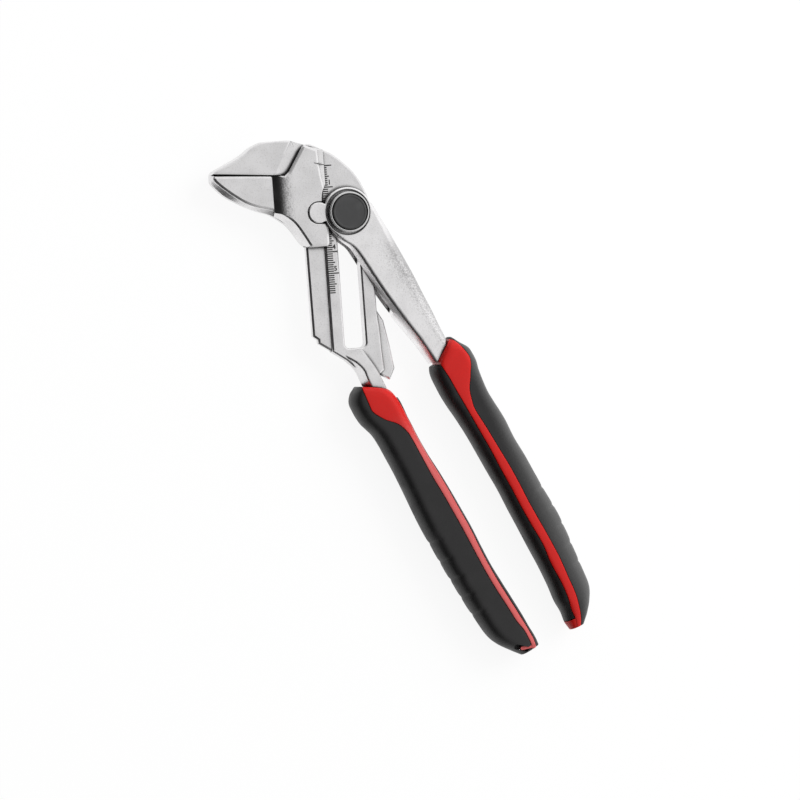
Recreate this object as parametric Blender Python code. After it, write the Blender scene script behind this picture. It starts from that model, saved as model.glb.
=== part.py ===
"""Pliers wrench with a push-button adjustment, in metres.

+X runs along the slotted guide towards the grips, +Y to the lever's side, +Z up out of the front
face. The origin is the pivot's axis in the plane on which the tool rests.
"""
from math import cos, hypot, pi, radians, sin

import bmesh
import bpy
from mathutils import Vector

# Thicknesses, measured from the middle plane of the forgings
FORGING_THICKNESS = 0.015
JAW_THICKNESS = 0.0102
WEB_THICKNESS = 0.007
RAIL_THICKNESS = 0.0045
EDGE_CHAMFER = 0.0005
FIT_GAP = 0.0003
RELIEF_GAP = 0.0004
CUT_OVERRUN = 0.004
SURFACE_STEP = 0.00002

# Guide of the fixed handle
SLOT_TOP_REACH = 0.0075
SLOT_END_INSET = 0.0013
SLOT_CORNER_RADIUS = 0.0022
GUIDE_LENGTH = 0.0643
BAR_EDGE = 0.0113
STEP_EDGE = 0.0111
RAIL_EDGE = 0.0202
RAIL_TOP_INSET = 0.0026
SPINE_REACH = 0.0326
GUARD_HEIGHT = 0.0068
GUARD_LENGTH = 0.0345
RACK_PITCH = 0.003
RACK_DEPTH = 0.001
TOOTH_ROOT_WIDTH = 0.0016
TOOTH_TIP_WIDTH = 0.0009

# Jaws
FACE_TILT = radians(3.6)
FACE_ROOT_REACH = 0.0186
JAW_OVERHANG = 0.0424
UPPER_JAW_HEIGHT = 0.0153
LOWER_JAW_DEPTH = 0.0337
CHEEK_BOTTOM_REACH = 0.0151
CHEEK_EDGE = 0.0096
CHEEK_CORNER_RADIUS = 0.0016
CHEEK_TOP_REACH = 0.0323
RAMP_TOP_EDGE = 0.0252
RAMP_FOOT_EDGE = 0.0342

# Lever and its lobe
HEAD_WALL = 0.001
LOBE_RADIUS = 0.0049
LOBE_REACH = 0.0023
LOBE_LEAD = 0.0006
ARM_ANGLE = radians(30.3)
ARM_LENGTH = 0.083
ARM_WIDTH = 0.0249
LEVER_TRAVEL = radians(28)

# Grips
GRIP_LENGTH = 0.1456
GRIP_WIDTH = 0.020
GRIP_EDGE_RADIUS = 0.0062
GRIP_WALL = 0.0026
GRIP_SKIN = 0.0024
TANG_INSET = 0.0336
TANG_WIDTH = 0.0068
TANG_THICKNESS = 0.0092
NECK_LENGTH = 0.0250
NECK_REACH = 0.0172
NECK_RISE = 0.0072
LEFT_GRIP_ANGLE = radians(27.7)
RIGHT_GRIP_ANGLE = radians(21.43)

# Pivot
SHANK_RADIUS = 0.0047
COLLAR_THICKNESS = 0.0018
BUTTON_SIDE_GAP = 0.0011
BOLT_TAIL = 0.0016
CAP_RADIUS = 0.0094
CAP_HEIGHT = 0.0035
CAP_WALL = 0.0012
HUB_DEPTH = 0.0014
DISC_RADIUS = 0.0080
DISC_THICKNESS = 0.0008
DISC_POCKET_DEPTH = 0.0008
SCREW_RADIUS = 0.0015
SCREW_LENGTH = 0.0065
SCREW_HEAD_RADIUS = 0.0027
SCREW_HEAD_THICKNESS = 0.0007
WASHER_THICKNESS = 0.0006
SPRING_WIRE = 0.0006
SPRING_TOP_RADIUS = 0.0058
SPRING_BOTTOM_RADIUS = 0.0074
SPRING_TURNS = 2.25
COVER_FLANGE_RADIUS = 0.0086
COVER_FLANGE_THICKNESS = 0.0012
COVER_PLUG_LENGTH = 0.0014

ROUND_SIDES = 48
SMALL_SIDES = 24
RAMP_STEPS = 7

FORGING_HALF = FORGING_THICKNESS / 2
MID = FORGING_HALF + COVER_FLANGE_THICKNESS + FIT_GAP
GRIP_THICKNESS = MID * 2
CORE_HEIGHT = GRIP_THICKNESS - (GRIP_SKIN + FIT_GAP) * 2
TANG_LENGTH = GRIP_LENGTH - TANG_INSET
JAW_HALF = JAW_THICKNESS / 2
WEB_HALF = WEB_THICKNESS / 2
RAIL_HALF = RAIL_THICKNESS / 2
SLOT_HALF = SHANK_RADIUS + FIT_GAP
SLOT_BOTTOM_REACH = GUIDE_LENGTH - SLOT_END_INSET
RAIL_TOP_REACH = FACE_ROOT_REACH - RAIL_TOP_INSET
FRONT_FACE = MID + FORGING_HALF
REAR_FACE = MID - FORGING_HALF
WEB_BACK = MID - WEB_HALF
MORTISE_HALF = WEB_HALF + FIT_GAP
BUTTON_TRAVEL = COLLAR_THICKNESS + RELIEF_GAP
COUNTERBORE_RADIUS = CAP_RADIUS + BUTTON_SIDE_GAP
COUNTERBORE_DEPTH = BUTTON_TRAVEL + RELIEF_GAP / 4
HEAD_RADIUS = COUNTERBORE_RADIUS + HEAD_WALL
LOBE_OFFSET = HEAD_RADIUS + LOBE_REACH
TOOTH_REACH = SLOT_HALF + RACK_DEPTH - FIT_GAP
COVER_BORE_RADIUS = hypot(RACK_PITCH + TOOTH_ROOT_WIDTH / 2, TOOTH_REACH) + FIT_GAP
LEFT_GRIP_START = (GUIDE_LENGTH + NECK_REACH, NECK_RISE)

# Shares of the jaw's overhang and height, from the tip of the face to the root, behind the face
UPPER_FACE_SHARES = [(0.97, 0), (0.94, 0.07), (0.66, 0.50), (0.54, 0.76), (0.455, 0.90),
                     (0.40, 0.965), (0.30, 0.995), (0.13, 0.995)]
UPPER_MID_SHARES = [(1, 0), (0.965, 0.12), (0.68, 0.56), (0.56, 0.82), (0.465, 0.955),
                    (0.405, 1), (0.30, 1.02), (0.10, 1.02)]
UPPER_CREASE_SHARES = [(0.185, 0.64), (0.245, 0.33), (0.295, 0)]
UPPER_BOUNDARY_SHARES = [(-0.03, 0.92), (0.145, 0.14), (0.20, 0)]

# Shares of the jaw's overhang and of the lower jaw's depth, from the tip to the cheek's bottom
LOWER_FACE_SHARES = [(0.975, 0), (0.985, 0.04), (0.955, 0.095), (0.83, 0.22), (0.645, 0.365),
                     (0.50, 0.433), (0.325, 0.481), (0.184, 0.567), (0.078, 0.68),
                     (-0.024, 0.86), (-0.0755, 0.960), (-0.105, 0.98)]
LOWER_MID_SHARES = [(1, 0), (1, 0.05), (0.990, 0.12), (0.855, 0.28), (0.665, 0.405),
                    (0.495, 0.49), (0.33, 0.552), (0.175, 0.67), (0.085, 0.79),
                    (0.004, 0.925), (-0.060, 0.990), (-0.100, 1)]

# Shares of the spine's reach and of the bar's edge
SPINE_SHARES = [(-0.985, -1.55), (-1, -1.32), (-0.915, -0.83), (-0.84, -0.42), (-0.73, -0.03),
                (-0.59, 0.37), (-0.455, 0.64), (-0.35, 0.79), (-0.22, 0.95), (-0.15, 1)]
# Shares of the neck's reach past the guide and of the bar's edge, round the foot of the guide
NECK_FOOT_SHARES = [(-1.05, 1), (-0.52, 1.06), (0.035, 1.09), (0.58, 1.14), (0.675, 0.95),
                    (0.895, 0.40), (0.45, -0.10), (0.245, -0.42), (0, -0.96)]
# Shares of the guard's length back from the grip and of its height beside the bar
GUARD_SHARES = [(-1.036, -0.25), (-0.891, 0.44), (-0.546, 0.74), (-0.226, 1), (-0.076, 0.62),
                (-0.136, 0.1), (-0.177, -0.25)]
# Shares of the guide's length and the rail's edge, round the rail's bottom end
RAIL_END_SHARES = [(0.877, -0.97), (0.905, -0.856), (0.932, -0.852), (1, -0.53)]

# Shares of the neck's length, then of the grip's width for both sides, then of the forging
NECK_SHARES = [(-0.96, -0.42, 0.10, 0.44), (-0.80, -0.31, 0.20, 0.46), (-0.68, -0.235, 0.25, 0.56),
               (-0.54, -0.175, 0.25, 0.76), (-0.44, -0.155, 0.25, 0.93), (-0.34, -0.15, 0.255, 1),
               (-0.21, -0.17, 0.265, 0.95)]
NECK_END_SHARES = (-0.19, 0.25, 0.84)
# Shares of the arm's length, then of its width: low middle, low face, high face, high middle;
# then the share of the forging's thickness
ARM_SHARES = [(-0.02, -0.45, -0.42, 0.40, 0.455, 0.998), (0.05, -0.465, -0.44, 0.41, 0.500, 0.998),
              (0.12, -0.40, -0.365, 0.385, 0.494, 0.998), (0.17, -0.345, -0.29, 0.37, 0.490, 0.998),
              (0.215, -0.34, -0.262, 0.345, 0.485, 0.998), (0.29, -0.35, -0.254, 0.315, 0.464, 0.998),
              (0.39, -0.372, -0.256, 0.275, 0.440, 0.998), (0.51, -0.374, -0.249, 0.23, 0.408, 0.998),
              (0.63, -0.35, -0.229, 0.18, 0.360, 0.975), (0.725, -0.323, -0.209, 0.15, 0.330, 0.94),
              (0.82, -0.285, -0.177, 0.125, 0.287, 0.88)]
# The arm's end beside the grip, in shares of the arm's width and then of the forging's thickness
ARM_END_SHARES = (-0.345, -0.245, 0.045, 0.138, 0.76)
# Shares of the guide's length and of the guard's reach, round the space for the guide and guard
MORTISE_SHARES = [(-0.25, 1.21), (0.045, 0.645), (0.115, 0.645), (0.20, 0.83), (0.47, 1),
                  (0.55, 1.04), (1, 1.04), (1, -1.7), (-0.25, -1.7)]
# Place of the lever's grip, in shares of the arm's length and width
RIGHT_GRIP_SHARES_ON_ARM = (0.965, 0.088)
# Middle of each tang where it enters its grip, in shares of the grip's width
LEFT_TANG_ENTRY_SHARE = -0.02
RIGHT_TANG_ENTRY_SHARE = -0.06

# Shares of the grip's length, then of its width: palm side, stripe to the palm, stripe to the
# hand gap, hand-gap side, and last the share of the grip's thickness
LEFT_GRIP_SHARES = [
    (0.004, 0.40, 0.27, -0.24, -0.25, 0.80), (0.014, 0.55, 0.32, -0.28, -0.30, 0.95),
    (0.032, 0.67, 0.345, -0.29, -0.345, 1), (0.055, 0.70, 0.375, -0.30, -0.365, 1),
    (0.075, 0.705, 0.39, -0.30, -0.37, 1), (0.095, 0.69, 0.315, -0.30, -0.36, 1),
    (0.112, 0.65, 0.215, -0.30, -0.35, 1), (0.137, 0.595, 0.035, -0.29, -0.33, 1),
    (0.172, 0.585, -0.06, -0.28, -0.315, 1), (0.206, 0.595, -0.075, -0.26, -0.295, 1),
    (0.275, 0.62, -0.05, -0.24, -0.28, 1), (0.345, 0.665, -0.025, -0.23, -0.295, 1),
    (0.412, 0.715, -0.025, -0.22, -0.295, 1), (0.48, 0.755, -0.01, -0.20, -0.285, 1),
    (0.55, 0.77, 0.01, -0.18, -0.27, 1), (0.62, 0.785, 0.04, -0.13, -0.23, 1),
    (0.69, 0.785, 0.065, -0.10, -0.20, 1), (0.755, 0.785, 0.07, -0.09, -0.205, 1),
    (0.825, 0.765, 0.055, -0.10, -0.215, 1), (0.88, 0.73, 0.045, -0.11, -0.22, 0.97),
    (0.92, 0.625, -0.005, -0.12, -0.215, 0.90), (0.962, 0.425, 0, -0.12, -0.22, 0.76),
    (0.99, 0.275, 0.02, -0.09, -0.20, 0.55)]
RIGHT_GRIP_SHARES = [
    (-0.011, 0.26, 0.22, -0.25, -0.27, 0.80), (0, 0.33, 0.27, -0.27, -0.44, 0.95),
    (0.018, 0.43, 0.345, -0.26, -0.48, 1), (0.040, 0.57, 0.40, -0.245, -0.50, 1),
    (0.062, 0.605, 0.435, -0.225, -0.50, 1), (0.082, 0.61, 0.38, -0.215, -0.495, 1),
    (0.105, 0.575, 0.265, -0.205, -0.49, 1), (0.137, 0.555, 0.11, -0.19, -0.475, 1),
    (0.172, 0.55, 0.045, -0.165, -0.44, 1), (0.206, 0.575, 0.02, -0.145, -0.395, 1),
    (0.275, 0.64, 0.085, -0.10, -0.325, 1), (0.345, 0.655, 0.14, -0.055, -0.28, 1),
    (0.412, 0.71, 0.195, -0.03, -0.24, 1), (0.48, 0.745, 0.23, 0.005, -0.195, 1),
    (0.55, 0.79, 0.25, 0.03, -0.175, 1), (0.62, 0.84, 0.29, 0.07, -0.145, 1),
    (0.69, 0.845, 0.33, 0.12, -0.12, 1), (0.755, 0.83, 0.355, 0.105, -0.09, 1),
    (0.825, 0.815, 0.345, 0.135, -0.08, 1), (0.88, 0.79, 0.34, 0.13, -0.095, 0.97),
    (0.92, 0.67, 0.30, 0.095, -0.07, 0.90), (0.955, 0.50, 0.25, 0.10, -0.09, 0.76),
    (0.985, 0.30, 0.18, 0.06, -0.05, 0.55)]

# Slope of the grips' fronts, the share of the length where it has faded out, and the shares of
# the width between which a front slants
FRONT_SLANT_SHARE = 0.72
SLANT_END_SHARE = 0.14
SLANT_SIDE_SHARES = (-0.27, 0.30)
# Rows of the tables where the inner pads begin
PAD_FIRST_ROWS = {"left": 3, "right": 1}

# Shares of the tang's length where its sections lie, and where it has bent to the grip's middle
TANG_SECTION_SHARES = [-0.04, 0.01, 0.06, 0.12, 0.25, 0.50, 0.75, 1]
TANG_BEND_SHARE = 0.12
TANG_TAPER_SHARE = 0.28
TANG_CORNER_SHARE = 0.2
NECK_CORNER_SHARE = 0.25
# Shares of the cheek's top reach and of the rail's edge, round the cheek's top corner
CHEEK_CORNER_SHARE = 0.92
CHEEK_SIDE_SHARES = (0.90, 0.95)
# Land and shoulder of the arm's section, in shares of half its thickness
ARM_LAND_SHARE = 1 / 3
ARM_SHOULDER_SHARES = (2 / 3, 0.8)
# Wall of the inner pad and rim of the grip pieces, in shares of the wall and of half the thickness
PAD_WALL_SHARE = 0.7
SLEEVE_CORNER_SHARE = 0.6
GRIP_RIM_SHARE = 1 / 6
GRIP_EDGE_POWERS = (2.6, 2.2)
# Shares of the space between two sides of a grip piece, closer where the edge turns round
ROUND_SIDE_SHARES = [0, 0.45, 0.70, 0.86, 0.96, 1]

COLOURS = {
    "forged_steel": ((0.60, 0.59, 0.595, 1), 0.34, 1),
    "button_steel": ((0.66, 0.66, 0.66, 1), 0.25, 1),
    "disc_black": ((0.062, 0.062, 0.062, 1), 0.45, 0),
    "grip_red": ((0.60, 0.025, 0.021, 1), 0.42, 0),
    "grip_black": ((0.018, 0.018, 0.018, 1), 0.55, 0),
}


def clear_scene():
    """Remove the objects that the open file holds."""
    for item in list(bpy.data.objects):
        bpy.data.objects.remove(item, do_unlink=True)


def material(name):
    """One plain material with a colour, a roughness and a metallic value."""
    colour, roughness, metallic = COLOURS[name]
    made = bpy.data.materials.get(name) or bpy.data.materials.new(name)
    made.use_nodes = True
    shader = made.node_tree.nodes["Principled BSDF"]
    shader.inputs["Base Color"].default_value = colour
    shader.inputs["Roughness"].default_value = roughness
    shader.inputs["Metallic"].default_value = metallic
    return made


def link_mesh(name, shape, finish=None):
    """Put a bmesh into the scene as an object whose faces point outwards."""
    bmesh.ops.recalc_face_normals(shape, faces=shape.faces)
    mesh = bpy.data.meshes.new(name)
    shape.to_mesh(mesh)
    shape.free()
    if finish:
        mesh.materials.append(material(finish))
    made = bpy.data.objects.new(name, mesh)
    bpy.context.collection.objects.link(made)
    return made


def smooth_sides(made, angle=radians(32)):
    """Shade round sides smooth and keep the sharp edges."""
    made.data.shade_smooth()
    made.data.set_sharp_from_angle(angle=angle)
    return made


def ring_loft(name, rings, finish=None, twisted=False, slanted=False):
    """Closed solid through rings of points; twisted sides and slanted ends are split into triangles."""
    shape = bmesh.new()
    rows = [[shape.verts.new(point) for point in ring] for ring in rings]
    count = len(rows[0])
    for lower, upper in zip(rows, rows[1:]):
        for index in range(count):
            after = (index + 1) % count
            shape.faces.new((lower[index], lower[after], upper[after], upper[index]))
    if twisted:
        bmesh.ops.triangulate(shape, faces=list(shape.faces))
    ends = [shape.faces.new(rows[0]), shape.faces.new(rows[-1])]
    if slanted:
        bmesh.ops.triangulate(shape, faces=ends)
    return link_mesh(name, shape, finish)


def signed_area(outline):
    """Area of an outline, positive when it runs anticlockwise."""
    pairs = zip(outline, outline[1:] + outline[:1])
    return sum(first[0] * second[1] - second[0] * first[1] for first, second in pairs) / 2


def inset(outline, distance):
    """Move each corner of an outline inwards by one distance from both of its sides."""
    turn = 1 if signed_area(outline) > 0 else -1
    moved = []
    for index, point in enumerate(outline):
        before = Vector(outline[index - 1])
        here = Vector(point)
        after = Vector(outline[(index + 1) % len(outline)])
        first = (here - before).normalized()
        second = (after - here).normalized()
        normal = Vector((-first.y - second.y, first.x + second.x)) * turn
        length_squared = normal.length_squared
        moved.append(tuple(here + normal * (2 * distance / length_squared)))
    return moved


def at_height(outline, height):
    """Lift a flat outline to one height."""
    return [(point[0], point[1], height) for point in outline]


def plate(name, outline, half, finish=None, chamfer=EDGE_CHAMFER):
    """Plate about the middle plane, with chamfered edges on both faces."""
    small = inset(outline, chamfer)
    rings = [at_height(small, MID - half), at_height(outline, MID - half + chamfer),
             at_height(outline, MID + half - chamfer), at_height(small, MID + half)]
    return ring_loft(name, rings, finish)


def prism(name, outline, bottom, top):
    """Straight cutter or block between two heights."""
    return ring_loft(name, [at_height(outline, bottom), at_height(outline, top)])


def forging(name, face, middle, half, land, finish=None):
    """Forged block: its middle outline stands out past the outline of its faces."""
    small = inset(face, EDGE_CHAMFER)
    rings = [at_height(small, MID - half), at_height(face, MID - half + EDGE_CHAMFER),
             at_height(middle, MID - land), at_height(middle, MID + land),
             at_height(face, MID + half - EDGE_CHAMFER), at_height(small, MID + half)]
    return ring_loft(name, rings, finish, twisted=True)


def arc(centre, radius, start, end, steps):
    """Points along an arc, both ends among them."""
    angles = [start + (end - start) * step / steps for step in range(steps + 1)]
    return [(centre[0] + radius * cos(angle), centre[1] + radius * sin(angle)) for angle in angles]


def circle(centre, radius, sides=ROUND_SIDES):
    """Points round a circle."""
    return arc(centre, radius, 0, 2 * pi, sides)[:-1]


def turned(name, profile, finish, sides=ROUND_SIDES):
    """Solid of revolution about the pivot's axis, from a closed profile of radii and heights."""
    shape = bmesh.new()
    rows = []
    for radius, height in profile:
        if radius == 0:
            rows.append([shape.verts.new((0, 0, height))])
        else:
            rows.append([shape.verts.new((x, y, height)) for x, y in circle((0, 0), radius, sides)])
    for lower, upper in zip(rows, rows[1:] + rows[:1]):
        if len(lower) == 1 and len(upper) == 1:
            continue
        for index in range(sides):
            after = (index + 1) % sides
            if len(lower) == 1:
                corners = (lower[0], upper[after], upper[index])
            elif len(upper) == 1:
                corners = (lower[index], lower[after], upper[0])
            else:
                corners = (lower[index], lower[after], upper[after], upper[index])
            shape.faces.new(corners)
    return smooth_sides(link_mesh(name, shape, finish))


def boolean(target, other, operation):
    """Live cut or union with a hidden helper solid."""
    other.hide_render = True
    other.display_type = "WIRE"
    step = target.modifiers.new(f"{operation.lower()} {other.name}", "BOOLEAN")
    step.operation = operation
    step.solver = "EXACT"
    step.object = other
    return target


def cut(target, *cutters):
    """Cut helper solids out of a piece."""
    for cutter in cutters:
        boolean(target, cutter, "DIFFERENCE")
    return target


def join(target, *blocks):
    """Add helper solids to a piece."""
    for block in blocks:
        boolean(target, block, "UNION")
    return target


def scaled(shares, length, width, start=(0, 0)):
    """Outline points from shares of a length along X and a width along Y."""
    return [(start[0] + along * length, start[1] + across * width) for along, across in shares]


def jaw_point(along, away, side):
    """Point by its distance along the jaw face and away from it, side -1 for the upper jaw."""
    x = -FACE_ROOT_REACH - along * sin(FACE_TILT) + side * away * cos(FACE_TILT)
    y = -RAIL_EDGE - along * cos(FACE_TILT) - side * away * sin(FACE_TILT)
    return (x, y)


def jaw_outline(shares, height, side, gap=0):
    """Jaw points from shares of the overhang and of the height, set off the face by a gap."""
    return [jaw_point(along * JAW_OVERHANG, gap + away * height, side) for along, away in shares]


def in_frame(along, across, start, angle):
    """World place of a point given along and across a turned line."""
    x = start[0] + along * cos(angle) - across * sin(angle)
    y = start[1] + along * sin(angle) + across * cos(angle)
    return (x, y)


def slant(along, across):
    """Shift along a grip that slopes its front, for a place across it towards the palm."""
    low, high = SLANT_SIDE_SHARES
    reach = min(max(across, low * GRIP_WIDTH), high * GRIP_WIDTH)
    fade = max(1 - max(along, 0) / (SLANT_END_SHARE * GRIP_LENGTH), 0)
    return -FRONT_SLANT_SHARE * reach * fade


def section_ring(along, points, start, angle, palm=0):
    """World points of one section; with the side of the palm given, slanted as a grip's front."""
    ring = []
    for across, height in points:
        shift = slant(along, palm * across) if palm else 0
        x, y = in_frame(along + shift, across, start, angle)
        ring.append((x, y, MID + height))
    return ring


def section_loft(name, sections, start, angle, finish=None, palm=0):
    """Loft through sections, each a distance along a line and points across and above it."""
    rings = [section_ring(along, points, start, angle, palm) for along, points in sections]
    return ring_loft(name, rings, finish, twisted=True, slanted=palm != 0)


def rounded_box(low, high, half, corner):
    """Section of a bar with blunt corners."""
    return [(low + corner, -half), (high - corner, -half), (high, corner - half), (high, half - corner),
            (high - corner, half), (low + corner, half), (low, half - corner), (low, corner - half)]


def slot_outline():
    """Round corners at both ends of the slot."""
    half = SLOT_HALF
    radius = SLOT_CORNER_RADIUS
    top = -SLOT_TOP_REACH
    bottom = SLOT_BOTTOM_REACH
    points = arc((bottom - radius, half - radius), radius, pi / 2, 0, 4)
    points += arc((bottom - radius, radius - half), radius, 0, -pi / 2, 4)
    points += arc((top + half, 0), half, -pi / 2, -3 * pi / 2, 12)
    return points


def tooth(place, side, base, height, grow):
    """Outline of one tooth or notch on a wall that faces the slot."""
    root = TOOTH_ROOT_WIDTH / 2 + grow
    tip = TOOTH_TIP_WIDTH / 2 + grow
    return [(place - root, side * base), (place + root, side * base),
            (place + tip, side * height), (place - tip, side * height)]


def rack_cutter():
    """All the rack's notches as one cutter, in the rear layer of the slot's wall by the rail."""
    shape = bmesh.new()
    bottom = WEB_BACK - CUT_OVERRUN
    top = WEB_BACK + BUTTON_TRAVEL
    last = SLOT_BOTTOM_REACH - SLOT_CORNER_RADIUS - RACK_PITCH
    place = -RACK_PITCH
    while place < last:
        base = SLOT_HALF - TOOTH_TIP_WIDTH
        outline = tooth(place, -1, base, SLOT_HALF + RACK_DEPTH, FIT_GAP)
        rows = [[shape.verts.new((x, y, z)) for x, y in outline] for z in (bottom, top)]
        shape.faces.new(rows[0])
        shape.faces.new(rows[1])
        for index in range(4):
            after = (index + 1) % 4
            shape.faces.new((rows[0][index], rows[0][after], rows[1][after], rows[1][index]))
        place += RACK_PITCH
    return link_mesh("rack_cutter", shape)


def grip_centre(table, share):
    """Middle of a grip's width at one share of its length."""
    for first, second in zip(table, table[1:]):
        if first[0] <= share <= second[0]:
            part = (share - first[0]) / (second[0] - first[0])
            low = first[4] + (second[4] - first[4]) * part
            high = first[1] + (second[1] - first[1]) * part
            return (low + high) / 2
    return (table[0][4] + table[0][1]) / 2


def tang(name, table, palm, entry, start, angle, grow=0):
    """Tang inside a grip, from its entry to the middle of the grip, tapering to its end."""
    sections = []
    for share in TANG_SECTION_SHARES:
        along = share * TANG_LENGTH
        bend = min(max(share, 0) / TANG_BEND_SHARE, 1)
        middle = grip_centre(table, max(along / GRIP_LENGTH, 0))
        centre = palm * GRIP_WIDTH * (entry + (middle - entry) * bend)
        taper = 1 - TANG_TAPER_SHARE * max(share, 0)
        half_width = TANG_WIDTH / 2 * taper + grow
        half_height = TANG_THICKNESS / 2 * taper + grow
        if share == 1:
            along += grow
        corner = TANG_WIDTH * TANG_CORNER_SHARE
        sections.append((along, rounded_box(centre - half_width, centre + half_width, half_height, corner)))
    return section_loft(name, sections, start, angle)


def fixed_handle():
    """Upper jaw, spine, slotted guide with its rack, guard, neck and tang in one forging."""
    web = scaled(SPINE_SHARES, SPINE_REACH, BAR_EDGE)
    web += scaled(NECK_FOOT_SHARES, NECK_REACH, BAR_EDGE, (GUIDE_LENGTH, 0))
    web += [(GUIDE_LENGTH, -STEP_EDGE), (-RAIL_TOP_REACH, -STEP_EDGE), (-RAIL_TOP_REACH, -RAIL_EDGE)]
    web += [jaw_point(0, 0, -1), jaw_point(UPPER_BOUNDARY_SHARES[2][0] * JAW_OVERHANG, 0, -1)]
    handle = plate("fixed_handle", web, WEB_HALF, "forged_steel", EDGE_CHAMFER / 2)

    face = jaw_outline(UPPER_FACE_SHARES + UPPER_CREASE_SHARES, UPPER_JAW_HEIGHT, -1)
    middle = jaw_outline(UPPER_MID_SHARES + UPPER_BOUNDARY_SHARES, UPPER_JAW_HEIGHT, -1)
    jaw = forging("upper_jaw", face, middle, JAW_HALF, WEB_HALF - SURFACE_STEP)

    rail = [(-RAIL_TOP_REACH - CUT_OVERRUN, -RAIL_EDGE)]
    rail += scaled(RAIL_END_SHARES, GUIDE_LENGTH, RAIL_EDGE)
    rail += [(GUIDE_LENGTH, -SLOT_HALF - CUT_OVERRUN / 2)]
    rail += [(-RAIL_TOP_REACH - CUT_OVERRUN, -SLOT_HALF - CUT_OVERRUN / 2)]
    strip = plate("rail_strip", rail, RAIL_HALF, chamfer=EDGE_CHAMFER / 2)

    guard = scaled(GUARD_SHARES, GUARD_LENGTH, GUARD_HEIGHT, (LEFT_GRIP_START[0], BAR_EDGE))
    hump = plate("pinch_guard", guard, RAIL_HALF - SURFACE_STEP, chamfer=EDGE_CHAMFER)

    sections = []
    for along, low, high, rise in NECK_SHARES:
        half = rise * FORGING_HALF
        corner = half * NECK_CORNER_SHARE
        sections.append((along * NECK_LENGTH,
                         rounded_box(low * GRIP_WIDTH, high * GRIP_WIDTH, half, corner)))
    rings = [section_ring(along, points, LEFT_GRIP_START, LEFT_GRIP_ANGLE) for along, points in sections]
    low, high, rise = NECK_END_SHARES
    half = rise * FORGING_HALF
    points = rounded_box(low * GRIP_WIDTH, high * GRIP_WIDTH, half, half * NECK_CORNER_SHARE)
    neck_end = LEFT_GRIP_SHARES[0][0] * GRIP_LENGTH - FIT_GAP
    rings.append(section_ring(neck_end, points, LEFT_GRIP_START, LEFT_GRIP_ANGLE, -1))
    neck = ring_loft("neck", rings, twisted=True, slanted=True)
    stem = tang("left_tang", LEFT_GRIP_SHARES, -1, LEFT_TANG_ENTRY_SHARE, LEFT_GRIP_START,
                LEFT_GRIP_ANGLE)

    slot = prism("slot_cutter", slot_outline(), MID - FORGING_THICKNESS, MID + FORGING_THICKNESS)
    join(handle, jaw, strip, hump, neck, stem)
    cut(handle, slot, rack_cutter())
    return handle


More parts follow.
